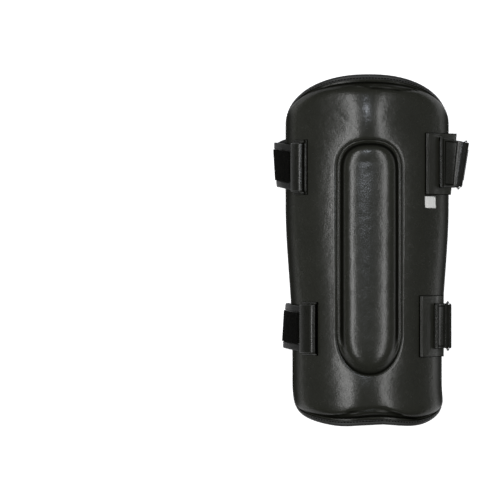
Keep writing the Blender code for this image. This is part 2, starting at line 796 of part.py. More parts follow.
def make_ring_loop(name, strap, anchor):
    """The leather loop sewn on the tab, out round the ring's upper bar and back."""
    lower = TAB_THICKNESS / 2 + PIECE_GAP + LOOP_THICKNESS / 2
    upper = lower + PIECE_GAP + LOOP_THICKNESS
    turn = RING_WIRE / 2 + PIECE_GAP + LOOP_THICKNESS / 2
    bar_x = strap["bar_x"]
    start = anchor.length_at(strap["loop_near"])
    end = anchor.length_at(bar_x - turn * 2.0)

    def from_bar(x):
        return min(max((bar_x - x) / strap["loop_length"], 0.0), 1.0)

    def width_at(x):
        return LOOP_BAR_WIDTH + (strap["loop_width"] - LOOP_BAR_WIDTH) * from_bar(x)

    def layer(out):
        stations = []
        for along in anchor.stops(start, end):
            (x, z, middle, slant, hug), (nx, nz) = anchor.between(along)
            middle += strap["loop_shift"] * from_bar(x)
            stations.append((x - out * nx, z - out * nz, middle, slant, hug))
        return stations

    round_bar = []
    for i in range(LOOP_POINTS):
        angle = math.pi * (i / (LOOP_POINTS - 1) - 0.5) * (1 + 2 * LOOP_CLOSING)
        x = bar_x + turn * math.cos(angle)
        z = upper_bar_level + turn * math.sin(angle)
        round_bar.append((x, z, bowed(strap, bar_x), strap["lean_right"], 0.0))
    stations = layer(lower) + round_bar + list(reversed(layer(upper)))
    ribbon = Ribbon(without_flats(curve_through(stations, 2)))
    half = LOOP_THICKNESS / 2
    add_plate(name, ribbon, 0.0, ribbon.length[-1], width_at, -half, half, leather)


def make_ring(name, strap):
    """A rectangular wire ring with round corners, standing on its long lower bar."""
    long_half = STRAP_WIDTH / 2 + RING_SIDE_GAP + RING_WIRE / 2
    short_half = RING_SPAN / 2
    corner = RING_WIRE
    middle_z = (bar_level + upper_bar_level) / 2
    lean = strap["lean_right"]
    bar_x = strap["bar_x"]
    bar_middle = bowed(strap, bar_x)
    path = []
    for sign_y, sign_z, first in ((1, 1, 0), (-1, 1, 90), (-1, -1, 180), (1, -1, 270)):
        for i in range(4):
            angle = math.radians(first + 30 * i)
            across = sign_y * (long_half - corner) + corner * math.cos(angle)
            up = sign_z * (short_half - corner) + corner * math.sin(angle)
            path.append(Vector((bar_x + lean * across, bar_middle + across, middle_z + up)))
    rings = []
    flat = Vector((1.0, -lean, 0.0)).normalized()
    for i, point in enumerate(path):
        ahead = (path[(i + 1) % len(path)] - path[i - 1]).normalized()
        out = ahead.cross(flat).normalized()
        ring = []
        for k in range(RING_SIDES):
            angle = 2 * math.pi * k / RING_SIDES
            spot = point + (out * math.cos(angle) + flat * math.sin(angle)) * RING_WIRE / 2
            ring.append(tuple(spot))
        rings.append(ring)
    add_piece(name, [p for r in rings for p in r], joined_rings(rings, True), steel, 50)


def make_size_label():
    strap = strap_places(STRAPS["upper"])
    top = strap["middle"] - strap["tab_height"] / 2 - LABEL_CLEAR
    middle_x = strap["side"] - LABEL_INSET
    low = []
    high = []
    for i in range(LABEL_STEPS + 1):
        y = top - LABEL_LENGTH * i / LABEL_STEPS
        for k in range(LABEL_STEPS + 1):
            x = middle_x + LABEL_WIDTH * (k / LABEL_STEPS - 0.5)
            low.append(panel_point(x, y, PIECE_GAP))
            high.append(panel_point(x, y, PIECE_GAP + LABEL_THICKNESS))
    steps = LABEL_STEPS + 1
    add_piece("size_label", low + high, slab_faces(steps, steps), woven_white)


def make_strap(prefix, strap):
    ribbon = strap_route(strap)
    half = STRAP_THICKNESS / 2
    make_strap_band(prefix + "_strap", ribbon)
    make_strap_binding(prefix + "_strap_binding", ribbon)
    tape_start = ribbon.length_at(-strap["cover_far"] - TAPE_START)
    tape_end = ribbon.length_at(strap["tip"] + HOOK_LENGTH + TAPE_PAST_HOOKS)
    face = half + PIECE_GAP
    add_plate(
        prefix + "_loop_tape", ribbon, tape_start, tape_end, lambda x: TAPE_WIDTH,
        face, face + TAPE_THICKNESS, loop_pile,
    )
    tip = ribbon.length[-1]
    add_plate(
        prefix + "_hook_tape", ribbon, tip - HOOK_LENGTH, tip - STRAP_WIDTH / 3,
        lambda x: HOOK_WIDTH, face, face + TAPE_THICKNESS, loop_pile,
    )
    if strap["patch"]:
        folded = len(ribbon.stations) // 2
        add_plate(
            "upper_woven_patch", ribbon,
            ribbon.length_at(strap["bar_x"] - PATCH_START, folded),
            ribbon.length_at(strap["patch_end"], folded),
            lambda x: TAPE_WIDTH, -face - PATCH_THICKNESS, -face, woven_black,
        )
    make_end_cover(prefix + "_end_cover", strap)
    anchor = anchor_ribbon(strap)
    make_anchor_tab(prefix + "_anchor_tab", strap, anchor)
    make_ring_loop(prefix + "_ring_loop", strap, anchor)
    make_ring(prefix + "_ring", strap)


for old in list(bpy.data.objects):
    bpy.data.objects.remove(old, do_unlink=True)

# Levels of the stack that the pad lies on, from the surface up
span_level = STRAP_THICKNESS * 1.5 + 2 * TAPE_THICKNESS + 3 * PIECE_GAP
stack_top = span_level + STRAP_THICKNESS / 2 + PIECE_GAP
turn_level = stack_top + TURN_RISE
bar_level = span_level + BAR_RISE
upper_bar_level = bar_level + RING_SPAN
widest = strap_places(STRAPS["upper"])
left_end = widest["reach_left"] + abs(widest["lean_left"]) * TAPE_WIDTH / 2
right_end = widest["reach_right"] + widest["lean_right"] * STRAP_WIDTH / 2
middle_line = (left_end - right_end) / 2

# The panel's top stands where the binding's lowest edge just clears the straps
top_level = 0.0
top_level = stack_top - min(z for row in BINDING_ROWS for _, _, z in rim_ring(row))

leather = material("black leather", (0.026, 0.027, 0.023), 0.42)
lining = material("brushed lining", (0.013, 0.014, 0.017), 0.95)
binding = material("satin binding", (0.055, 0.055, 0.055), 0.55)
loop_pile = material("loop pile", (0.006, 0.006, 0.005), 1.0)
woven_black = material("black woven patch", (0.008, 0.008, 0.009), 0.8)
woven_white = material("white woven label", (0.75, 0.75, 0.72), 0.8)
steel = material("bright steel", (0.75, 0.75, 0.75), 0.2, 1.0)

make_front_pad()
make_back_lining()
make_edge_binding()
for prefix, strap in STRAPS.items():
    make_strap(prefix, strap_places(strap))
make_size_label()
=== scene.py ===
from bisect import bisect_right
from math import atan2, cos, exp, hypot, pi, radians, sin, sqrt

import bpy
from mathutils import Matrix, Vector, noise


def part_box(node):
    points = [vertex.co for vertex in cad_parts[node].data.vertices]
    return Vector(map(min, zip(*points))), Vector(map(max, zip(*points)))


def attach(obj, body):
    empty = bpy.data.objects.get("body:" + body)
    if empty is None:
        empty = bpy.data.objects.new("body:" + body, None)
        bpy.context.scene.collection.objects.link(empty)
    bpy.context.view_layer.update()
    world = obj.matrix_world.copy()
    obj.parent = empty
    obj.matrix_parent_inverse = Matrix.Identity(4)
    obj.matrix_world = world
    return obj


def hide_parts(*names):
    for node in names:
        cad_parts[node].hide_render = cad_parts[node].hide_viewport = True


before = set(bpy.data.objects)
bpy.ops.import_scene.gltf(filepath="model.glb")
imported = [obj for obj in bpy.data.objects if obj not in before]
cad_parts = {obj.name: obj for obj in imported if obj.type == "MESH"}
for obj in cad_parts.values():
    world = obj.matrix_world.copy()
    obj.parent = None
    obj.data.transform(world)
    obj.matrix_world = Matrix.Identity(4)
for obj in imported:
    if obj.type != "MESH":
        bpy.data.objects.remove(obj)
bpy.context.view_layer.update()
mm = 0.001  # lengths below are in millimetres, and a mesh is laid in metres
weldGap = 0.000002  # in metres

# Guard outline and section, as the frame's solids have them
guard = {
    "length": 349.0, "topHalfWidth": 82.6, "footHalfWidth": 75.7, "taperStart": 45.0, "taperEnd": -95.0,
    "topRise": 48.0, "topPower": 2.3, "footRise": 29.0, "footPower": 3.6, "rimSag": 34.0,
    "seamInset": 2.6, "padThickness": 14.0, "sideRim": 10.5, "endRim": 8.0, "cornerPoints": 20,
    "sidePoints": 56,
}
ridge = {
    "halfWidth": 32.4, "topMargin": 65.1, "footMargin": 51.3, "topRise": 31.0, "footRise": 43.0,
    "topPower": 2.5, "footPower": 2.1,
    "spine": 0.12,  # keeps the ridge's ends apart where its outline shrinks to nothing
    "height": 9.5,
}
# What the straps, their tapes, tabs, loops and rings are cut and bent to
cut = {
    "width": 45.0, "thickness": 2.4, "edgeThickness": 1.0, "edging": 6.6, "edgingWall": 0.45,
    "tape": 0.9, "tapeWidth": 31.2, "hookLength": 62.0, "hookWidth": 24.96, "patchStart": 16.4,
    "patchClear": 15.0, "patch": 0.5, "loop": 1.5, "tab": 1.6, "cover": 1.6, "coverEase": 1.4,
    "wire": 2.4, "ringSpan": 12.0, "ringSideGap": 0.5, "loopBarWidth": 44.0, "liftShare": 0.87,
    "seat": 0.75, "turnRise": 4.5, "barRise": 7.5, "gap": 0.3,
}
straps = {
    "upper": dict(
        end=1, fromEnd=88.5, bow=14.0, pastLeft=11.0, pastRight=16.6, coverInset=8.4,
        coverWidth=11.8, coverShift=-3.5, coverHeight=55.0, tabLength=39.4, tabClear=8.8,
        tabHeight=61.5, loopLength=25.6, loopWidth=51.0, loopShift=1.5, foldLength=136.3,
        leanLeft=-0.06, leanRight=0.16, patch=True, boxMiddle=11.6, boxHalf=5.8, boxEdge=4.2, streak=21.3,
        coverFold=0.0,
    ),
    "lower": dict(
        end=-1, fromEnd=98.5, bow=-4.0, pastLeft=8.6, pastRight=8.9, coverInset=10.7,
        coverWidth=13.3, coverShift=-2.4, coverHeight=53.3, tabLength=31.2, tabClear=4.6,
        tabHeight=61.5, loopLength=16.4, loopWidth=45.2, loopShift=0.0, foldLength=85.8,
        leanLeft=0.06, leanRight=0.0, patch=False, boxMiddle=7.4, boxHalf=4.2, boxEdge=2.6, streak=13.2,
        coverFold=-1.8,
    ),
}

padLow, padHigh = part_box("front_pad")
middleLine = (padLow.x + padHigh.x) / 2 / mm
topLevel = padHigh.z / mm - ridge["height"]
gap = cut["gap"]
halfStrap = cut["thickness"] / 2
spanLevel = cut["thickness"] * 1.5 + 2 * cut["tape"] + 3 * gap
turnLevel = spanLevel + halfStrap + gap + cut["turnRise"]
barLevel = spanLevel + cut["barRise"]
upperBarLevel = barLevel + cut["ringSpan"]


# Laying a grid primitive over a shape, and other making helpers

def deselectAll():
    if bpy.context.object and bpy.context.object.mode != "OBJECT":
        bpy.ops.object.mode_set(mode="OBJECT")
    bpy.ops.object.select_all(action="DESELECT")


def inMetres(x, y, z):
    return Vector(((x + middleLine) * mm, y * mm, z * mm))


def placeOf(vertex):  # in millimetres from the guard's middle line
    return vertex.co.x / mm - middleLine, vertex.co.y / mm, vertex.co.z / mm


def layRings(name, rings, smoothLevels=0, paintedShades=None):  # painted shade: how dark and dull each point is painted
    rows, columns = len(rings) - 1, len(rings[0])
    deselectAll()
    bpy.ops.mesh.primitive_grid_add(x_subdivisions=columns, y_subdivisions=rows, size=1)
    piece = bpy.context.object
    piece.name = piece.data.name = name
    marks = piece.data.attributes.new("paintedShade", "FLOAT", "POINT") if paintedShades else None
    for vertex in piece.data.vertices:
        row = round((vertex.co.y + 0.5) * rows)
        column = round((vertex.co.x + 0.5) * columns) % columns  # the last one meets the first
        vertex.co = inMetres(*rings[row][column])
        if paintedShades:
            marks.data[vertex.index].value = paintedShades[row][column]
    bpy.ops.object.mode_set(mode="EDIT")
    bpy.ops.mesh.select_all(action="SELECT")
    bpy.ops.mesh.remove_doubles(threshold=weldGap)
    bpy.ops.mesh.normals_make_consistent(inside=False)
    bpy.ops.object.mode_set(mode="OBJECT")
    if smoothLevels:
        finer = piece.modifiers.new("finer", "SUBSURF")
        finer.levels = finer.render_levels = smoothLevels
        bpy.ops.object.modifier_apply(modifier=finer.name)
    bpy.ops.object.shade_smooth()
    return piece


def waveFace(piece, way, least, lift):  # lifts the points that face up or down
    facing = [vertex.normal.z for vertex in piece.data.vertices]
    for vertex, up in zip(piece.data.vertices, facing):
        if up * way > least:
            vertex.co.z += lift(*placeOf(vertex)) * mm
    return piece


def settle(piece, finish, slot, *nodes):  # gives it its finish and hides the solids that it stands for
    for vertex in piece.data.vertices:
        vertex.co.z = max(vertex.co.z, 0.0)
    piece.data.materials.clear()
    piece.data.materials.append(finish)
    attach(piece, "root")
    if nodes:
        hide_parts(*nodes)
    return piece


def levelSlope(before, after):
    return 0.0 if before * after <= 0 else 2 * before * after / (before + after)


def curveThrough(stations, steps):
    runs = [[b - a for a, b in zip(p, q)] for p, q in zip(stations, stations[1:])]
    slopes = [runs[0]]
    slopes += [[levelSlope(a, b) for a, b in zip(p, q)] for p, q in zip(runs, runs[1:])]
    slopes += [runs[-1]]
    points = []
    for i, (here, there) in enumerate(zip(stations, stations[1:])):
        for step in range(steps):
            t = step / steps
            keep = (1 + 2 * t) * (1 - t) * (1 - t)
            leave = t * (1 - t) * (1 - t)
            arrive = t * t * (t - 1)
            points.append(tuple(
                a * keep + b * (1 - keep) + u * leave + v * arrive
                for a, b, u, v in zip(here, there, slopes[i], slopes[i + 1])
            ))
    points.append(tuple(stations[-1]))
    return points


def smoothStep(share):
    share = min(1.0, max(0.0, share))
    return share * share * (3 - 2 * share)


def bump(distance, width):
    return exp(-(distance / width) ** 2)


def wander(x, y, z, size, seed):  # soft noise of about 1, with features of this size
    return noise.noise(Vector((x / size + seed, y / size, z / size)))


# Stitches: one thread, copied along its seams


def makeThread(size):
    deselectAll()
    bpy.ops.mesh.primitive_uv_sphere_add(segments=8, ring_count=5, radius=0.5 * mm)
    bpy.ops.object.mode_set(mode="EDIT")
    bpy.ops.mesh.select_all(action="SELECT")
    bpy.ops.transform.resize(value=size)
    bpy.ops.object.mode_set(mode="OBJECT")
    return bpy.context.object


def sewAlong(name, seams, thread, pitch):  # a seam is a list of points, each with its normal
    points = [v.co.copy() for v in thread.data.vertices]
    panes = [tuple(p.vertices) for p in thread.data.polygons]
    places, faces = [], []
    for seam in seams:
        run, wanted = 0.0, pitch / 2
        for (here, up), (there, _) in zip(seam, seam[1:]):
            here, there, up = Vector(here), Vector(there), Vector(up)
            size = (there - here).length
            while size > 0 and wanted <= run + size:
                place = inMetres(*here.lerp(there, (wanted - run) / size))
                along = (there - here).normalized()
                side = up.cross(along).normalized()
                turn = Matrix((along, side, along.cross(side))).transposed()
                faces += [tuple(v + len(places) for v in pane) for pane in panes]
                places += [place + turn @ point for point in points]
                wanted += pitch
            run += size
    mesh = bpy.data.meshes.new(name)
    mesh.from_pydata(places, [], faces)
    piece = bpy.data.objects.new(name, mesh)
    bpy.context.collection.objects.link(piece)
    deselectAll()
    piece.select_set(True)
    bpy.context.view_layer.objects.active = piece
    bpy.ops.object.shade_smooth()
    return piece


# Finishes

patterns = {
    "noiseRoughness": 0.55,
    "tone": 24,  # the leather's patches of colour and of shine, then what stands out on it
    "shine": 150, "wrinkles": 160, "wrinkleDepth": 0.0002, "cells": 780, "cellDepth": 0.00004,
    "pores": 2300, "poreDepth": 0.00002,
}
# painted shade: the mark where the darkening starts, the mark where the shine is gone, the shine where
# nothing is painted, and the near-black colour that marked points are painted towards
shadePaint = {"darkAbove": 0.3, "dullAt": 0.7, "shine": 0.5, "colour": (0.0008, 0.0008, 0.0008)}


class Finish:
    def __init__(self, name, colour, roughness, **sockets):
        self.material = bpy.data.materials.new(name)
        self.material.use_nodes = True
        self.tree = self.material.node_tree
        self.shader = self.tree.nodes["Principled BSDF"]
        self.shader.inputs["Base Color"].default_value = (*colour, 1)
        self.shader.inputs["Roughness"].default_value = roughness
        for socket, value in sockets.items():
            self.shader.inputs[socket.replace("_", " ")].default_value = value
        self.place = self.tree.nodes.new("ShaderNodeTexCoord").outputs["Object"]
        self.normal = None

    def add(self, kind, links=(), **settings):
        node = self.tree.nodes.new("ShaderNode" + kind)
        for key, value in settings.items():
            socket = key.replace("_", " ")
            if socket in node.inputs:
                node.inputs[socket].default_value = value
            else:
                setattr(node, key, value)
        for output, socket in links:
            self.tree.links.new(output, node.inputs[socket])
        return node

    def noise(self, scale, detail):
        made = self.add("TexNoise", [(self.place, "Vector")], Scale=scale, Detail=detail,
                        Roughness=patterns["noiseRoughness"])
        return made.outputs[0]

    def cells(self, scale):
        return self.add("TexVoronoi", [(self.place, "Vector")], Scale=scale).outputs["Distance"]

    def between(self, value, low, high, fromLow=0.3, fromHigh=0.7):
        made = self.add("MapRange", [(value, "Value")])
        for socket, number in zip(("From Min", "From Max", "To Min", "To Max"),
                                  (fromLow, fromHigh, low, high)):
            made.inputs[socket].default_value = number
        return made.outputs[0]

    def colours(self, value, stops):
        ramp = self.add("ValToRGB", [(value, "Fac")])
        points = ramp.color_ramp.elements
        while len(points) < len(stops):
            points.new(0.5)
        for point, (spot, colour) in zip(points, stops):
            point.position = spot
            point.color = (*colour, 1)
        self.tree.links.new(ramp.outputs["Color"], self.shader.inputs["Base Color"])

    def paintShade(self):  # painted shade: the points marked on a piece are painted towards near black and lose their shine
        paintedShade = self.add("Attribute", attribute_name="paintedShade").outputs["Fac"]
        base = self.shader.inputs["Base Color"]
        dark = self.between(paintedShade, 0.0, 1.0, shadePaint["darkAbove"], 1.0)
        mixed = self.add("Mix", [(dark, "Factor")], data_type="RGBA")
        self.tree.links.new(base.links[0].from_socket, mixed.inputs["A"])
        mixed.inputs["B"].default_value = (*shadePaint["colour"], 1)
        self.tree.links.new(mixed.outputs["Result"], base)
        self.tree.links.new(self.between(paintedShade, shadePaint["shine"], 0.0, 0.0, shadePaint["dullAt"]),
                            self.shader.inputs["Specular IOR Level"])

    def rough(self, value, low, high):
        self.tree.links.new(self.between(value, low, high), self.shader.inputs["Roughness"])

    def emboss(self, value, distance):
        links = [(value, "Height")] + ([(self.normal, "Normal")] if self.normal else [])
        self.normal = self.add("Bump", links, Distance=distance, Strength=1.0).outputs["Normal"]
        self.tree.links.new(self.normal, self.shader.inputs["Normal"])


def makeLeather(name, dark, light, roughLow, roughHigh):
    finish = Finish(name, dark, roughLow, Specular_IOR_Level=shadePaint["shine"])
    finish.colours(finish.noise(patterns["tone"], 4), [(0.3, dark), (0.72, light)])
    finish.rough(finish.noise(patterns["shine"], 4), roughLow, roughHigh)
    finish.emboss(finish.noise(patterns["wrinkles"], 4), patterns["wrinkleDepth"])
    finish.emboss(finish.cells(patterns["cells"]), patterns["cellDepth"])
    finish.emboss(finish.noise(patterns["pores"], 3), patterns["poreDepth"])
    finish.paintShade()
    return finish.material


def makeFabric(name, dark, light, roughness, distance, scale, shadePainted=False, **sockets):
    finish = Finish(name, dark, roughness, **sockets)
    finish.colours(finish.noise(scale, 5), [(0.35, dark), (0.7, light)])
    finish.emboss(finish.noise(scale * 1.6, 4), distance)
    # with this flag set, the fabric takes painted shade from its marks
    if shadePainted:
        finish.paintShade()
    return finish.material


padLeather = makeLeather(
    "padLeather", (0.0190, 0.0197, 0.0142), (0.0232, 0.0240, 0.0175), 0.235, 0.285
)
tabLeather = makeLeather("tabLeather", (0.0190, 0.0197, 0.0145), (0.0225, 0.0233, 0.0175), 0.30, 0.38)
strapLeather = makeLeather(
    "strapLeather", (0.0130, 0.0135, 0.0100), (0.0165, 0.0171, 0.0130), 0.25, 0.31
)
edgingSatin = makeFabric(
    "edgingSatin", (0.0050, 0.0052, 0.0043), (0.0095, 0.0098, 0.0082), 0.55, 0.00006, 900,
    Specular_IOR_Level=0.35,
)
rimSatin = makeFabric(
    "rimSatin", (0.010, 0.0103, 0.0085), (0.017, 0.0174, 0.0148), 0.48, 0.00006, 900, shadePainted=True
)
greyThread = makeFabric("greyThread", (0.016, 0.016, 0.014), (0.026, 0.026, 0.023), 0.6, 0.00003, 3000)
brushedLining = makeFabric(
    "brushedLining", (0.0045, 0.0050, 0.0062), (0.0095, 0.0102, 0.0125), 0.95, 0.0002, 420,
    Sheen_Weight=0.25, Sheen_Roughness=0.5,
)
loopFuzz = makeFabric(
    "loopFuzz", (0.0010, 0.0010, 0.0009), (0.010, 0.010, 0.009), 1.0, 0.0004, 1100,
    Specular_IOR_Level=0.03,
)
hookPlastic = makeFabric("hookPlastic", (0.004, 0.004, 0.004), (0.01, 0.01, 0.01), 0.6, 0.0003, 1500)
patchWeave = makeFabric("patchWeave", (0.004, 0.004, 0.005), (0.008, 0.008, 0.009), 0.8, 0.0001, 1500)
labelWeave = makeFabric("labelWeave", (0.73, 0.73, 0.69), (0.86, 0.86, 0.82), 0.85, 0.0001, 1200)
blackThread = makeFabric("blackThread", (0.003, 0.003, 0.003), (0.006, 0.006, 0.006), 0.55, 0.00005, 3000)
ringSteel = Finish("ringSteel", (0.78, 0.78, 0.77), 0.16, Metallic=1.0)
ringSteel.rough(ringSteel.noise(300, 3), 0.12, 0.24)
ringSteel = ringSteel.material
print("finishes ready")


# The guard's own curves


def halfWidth(y):
    share = (guard["taperStart"] - y) / (guard["taperStart"] - guard["taperEnd"])
    return guard["topHalfWidth"] + (guard["footHalfWidth"] - guard["topHalfWidth"]) * smoothStep(share)


def archRadius(y):
    reach = halfWidth(y) - guard["seamInset"]
    return (reach * reach + guard["rimSag"] ** 2) / (2 * guard["rimSag"])


def archDepth(x, y, below=0.0):
    radius = archRadius(y)
    rise = sqrt(radius * radius - x * x)
    return radius - rise + below * radius / rise


def panelPoint(x, y, above):
    radius = archRadius(y)
    lean = x / radius
    return (x + above * lean, y, topLevel - archDepth(x, y) + above * sqrt(1 - lean * lean))


def halfRing(rightX, top, foot, topRise, footRise, topPower, footPower):
    corners, steps = guard["cornerPoints"], guard["sidePoints"] - 1
    quarter = [(i + 0.5) / corners * pi / 2 for i in range(corners)]

    def corner(angle, end, rise, power):
        along = sin(angle) ** (2 / power)
        y = end + rise * (1 - along)
        return (rightX(y) * cos(angle) ** (2 / power), y, along)

    side = [foot + footRise + (top - topRise - foot - footRise) * i / steps for i in range(steps + 1)]
    return ([corner(angle, foot, footRise, footPower) for angle in reversed(quarter)]
            + [(rightX(y), y, 0.0) for y in side]
            + [corner(angle, top, -topRise, topPower) for angle in quarter])


def bodyHalf(sideIn, endIn):
    return halfRing(
        lambda y: halfWidth(y) - sideIn, guard["length"] / 2 - endIn, endIn - guard["length"] / 2,
        guard["topRise"] - endIn, guard["footRise"] - endIn, guard["topPower"], guard["footPower"],
    )


def ridgeHalf(share):  # the ridge's outline shrunk to a share
    topMiddle = guard["length"] / 2 - ridge["topMargin"] - ridge["topRise"]
    footMiddle = ridge["footMargin"] + ridge["footRise"] - guard["length"] / 2
    ends = max(share, ridge["spine"])
    return halfRing(
        lambda y: ridge["halfWidth"] * share, topMiddle + ridge["topRise"] * ends,
        footMiddle - ridge["footRise"] * ends, ridge["topRise"] * ends, ridge["footRise"] * ends,
        ridge["topPower"], ridge["footPower"],
    )


def towardRidge(outer, out):  # a half ring that lies a share of the way out from the ridge
    return [(midX + (rimX - midX) * out, midY + (rimY - midY) * out)
            for (rimX, rimY, _), (midX, midY, _) in zip(outer, ridgeHalf(1.0))]


def wholeRing(half):
    return half + [(-x, y, z) for x, y, z in reversed(half)]


def rimRing(sideIn, endIn, sideDeep, endDeep):
    half = []
    for x, y, along in bodyHalf(sideIn * guard["sideRim"], endIn * guard["endRim"]):
        end = along * along
        deep = (sideDeep * (1 - end) + endDeep * end) * guard["padThickness"]
        half.append((x, y, topLevel - archDepth(x, y, deep)))
    return wholeRing(half)


def ringAt(half, below=0.0):  # a whole ring at one depth below the panel
    return wholeRing([(x, y, topLevel - archDepth(x, y, below)) for x, y, *_ in half])


def finerRings(rings, steps):  # with smooth rings between the given ones
    lines = [curveThrough([ring[i] for ring in rings], steps) for i in range(len(rings[0]))]
    return [[line[row] for line in lines] for row in range(len(lines[0]))]


# Front pad: moulded leather over foam

padShape = {
    "ridgeRows": (  # share of the half width, then share of the height and the painted shade at the sides and the top, and the same two at the foot
        # the sides and the top, and the same two at the foot
        (0.00, 1.00, 0, 1.00, 0), (0.19, 0.996, 0, 0.996, 0), (0.37, 0.983, 0, 0.983, 0),
        (0.50, 0.952, 0, 0.96, 0), (0.605, 0.895, 0, 0.91, 0.05), (0.69, 0.80, 0.15, 0.84, 0.1),
        (0.753, 0.67, 0.45, 0.75, 0.2), (0.803, 0.49, 0.75, 0.645, 0.3), (0.842, 0.27, 0.85, 0.52, 0.35),
        (0.87, 0.14, 0.75, 0.43, 0.35), (0.897, 0.10, 0.55, 0.34, 0.4), (0.92, 0.16, 0.15, 0.25, 0.5),
        (0.945, 0.19, 0.0, 0.16, 0.6), (0.968, 0.13, 0.15, 0.07, 0.75), (0.988, 0.0, 0.5, -0.03, 0.85),
        (1.004, -0.06, 0.5, -0.06, 0.8), (1.03, -0.03, 0.2, -0.03, 0.3),
    ),
    "panelRows": (  # share of the way from the ridge to the shoulder, and the painted shade
        (0.06, 0.05), (0.10, 0), (0.17, 0), (0.29, 0), (0.43, 0), (0.60, 0), (0.78, 0), (0.92, 0),
    ),
    "rimRows": (  # insets in shares of the rims, depths in shares of the thickness, and the painted shade, each at the sides and at the ends
        # it looks, each at the sides and at the ends
        (1.30, 2.50, 0.00, 0.00, 0.0, 0.15), (0.95, 1.85, 0.00, 0.03, 0.1, 0.35),
        (0.57, 1.45, 0.02, 0.13, 0.2, 0.6), (0.29, 1.19, 0.04, 0.35, 0.3, 0.8),
        (0.11, 1.04, 0.07, 0.56, 0.4, 0.9), (0.04, 1.00, 0.16, 0.68, 0.8, 1),
        (0.10, 1.03, 0.30, 0.76, 1, 1), (0.27, 1.00, 0.37, 0.80, 1, 1),
        (0.25, 0.90, 0.42, 0.775, 0.4, 0.35), (0.24, 0.15, 0.61, 0.785, 0, 0),
        (0.45, 0.15, 0.74, 0.94, 0, 0), (0.47, 0.93, 0.50, 0.94, 0, 0),
        (0.76, 1.12, 0.70, 0.97, 0, 0), (1.00, 1.20, 1.00, 1.00, 0, 0),
    ),
    "innerOut": (0.66, 0.33, 0.0), "innerAcross": (0.6, 0.2, 0.0), "footReach": 1.3, "creaseFade": 9.0,
    "creaseReach": 16.0,
    "creases": (  # points on the panel, width, depth and how dark its painted shade is
        dict(line=((-7, 162.4), (2, 159.8), (31, 157.9), (46, 158.6)), width=1.1, depth=1.4, dark=0.8),
        dict(line=((-39, 161.5), (-24, 161.0), (-8, 161.2)), width=3.0, depth=0.7),
        dict(line=((-41, -164.2), (-27, -162.0), (-15, -158.9), (4, -157.3), (22, -160.9),
                   (38, -165.2), (54, -168.4)), width=1.4, depth=2.3, dark=0.95),
        dict(line=((-6, 165.2), (8, 165.0), (20, 164.0)), width=2.6, depth=-0.8),
        dict(line=((-29, 133), (-25, 129.5), (-21, 125)), width=1.3, depth=0.22),
        dict(line=((-24, 124), (-20.5, 120.5), (-17, 116)), width=1.3, depth=0.18),
    ),
    "crowns": (  # where the panel swells along its middle: from and to y, height, width
        dict(low=86, high=178, height=6.0, width=30),
        dict(low=-174, high=-108, height=2.3, width=27),
    ),
    "crownPower": 1.3,
    # painted shade towards the sides, and painted black seam shadows along the outline
    "sideShade": {"dark": 0.68, "clear": 3.0, "run": 11.0},
    "sideSeam": {"clear": 0.6, "run": 1.6, "fade": 12.0},
    "sideSeams": (  # stretches where a painted black seam shadow shows outside the leather: side, from and to y
        (-1, -150, -98), (1, -150, -118), (1, 108, 148),
    ),
    "unevenness": 0.16, "wave": 26.0, "ripple": 9.0, "rippleShare": 0.4, "facing": 0.25, "steps": 2,
}


# How far the foot end leans to the right, and where its edge hangs: middle, half width, drop
footSag = {
    "lean": 2.3, "start": -134.0, "run": 32.0,
    "hangs": ((50, 21, 2.5), (-30, 20, 1.2), (6, 18, -1.5)),
}


def sagFoot(piece):
    for vertex in piece.data.vertices:
        x, y, _ = placeOf(vertex)
        share = smoothStep((footSag["start"] - y) / footSag["run"])
        if share > 0:
            hang = sum(drop * bump(x - middle, width) for middle, width, drop in footSag["hangs"])
            vertex.co.x += footSag["lean"] * share * mm
            vertex.co.y -= hang * share * mm
    return piece


def creases(x, y):  # how deep the creases are at a point, and how dark their painted shade is
    depth = dark = 0.0
    for crease in padShape["creases"]:
        line = crease["line"]
        inside = min(max(x, line[0][0]), line[-1][0])
        past = abs(x - inside)
        if past >= padShape["creaseFade"] or abs(y - line[1][1]) > padShape["creaseReach"]:
            continue
        height = next(ay + (by - ay) * smoothStep((inside - ax) / (bx - ax))
                      for (ax, ay), (bx, by) in zip(line, line[1:]) if inside <= bx)
        share = bump(y - height, crease["width"]) * smoothStep(1 - past / padShape["creaseFade"])
        depth += crease["depth"] * share
        dark = max(dark, crease.get("dark", 0) * share)
    return depth, dark


def crownHeight(x, y):
    height = 0.0
    for crown in padShape["crowns"]:
        share = (y - crown["low"]) / (crown["high"] - crown["low"])
        if 0 < share < 1:
            arch = sin(pi * share) ** padShape["crownPower"]
            height += crown["height"] * arch * bump(x, crown["width"])
    return height


def edgeShade(x, y):  # painted shade darkens the panel and dulls its shine towards its sides, and a painted black seam shadow shows in places
    inset = halfWidth(y) - abs(x)
    side, seam = padShape["sideShade"], padShape["sideSeam"]
    shade = side["dark"] * (1 - smoothStep((inset - side["clear"]) / side["run"]))
    for way, low, high in padShape["sideSeams"]:
        if low < y < high and x * way > 0:
            fade = smoothStep(min(y - low, high - y) / seam["fade"])
            shade = max(shade, fade * (1 - smoothStep((inset - seam["clear"]) / seam["run"])))
    return shade


def padLift(x, y, z):
    wave = wander(x, y, z, padShape["wave"], 3.0)
    wave += padShape["rippleShare"] * wander(x, y, z, padShape["ripple"], 8.0)
    return padShape["unevenness"] * wave + crownHeight(x, y) - creases(x, y)[0]


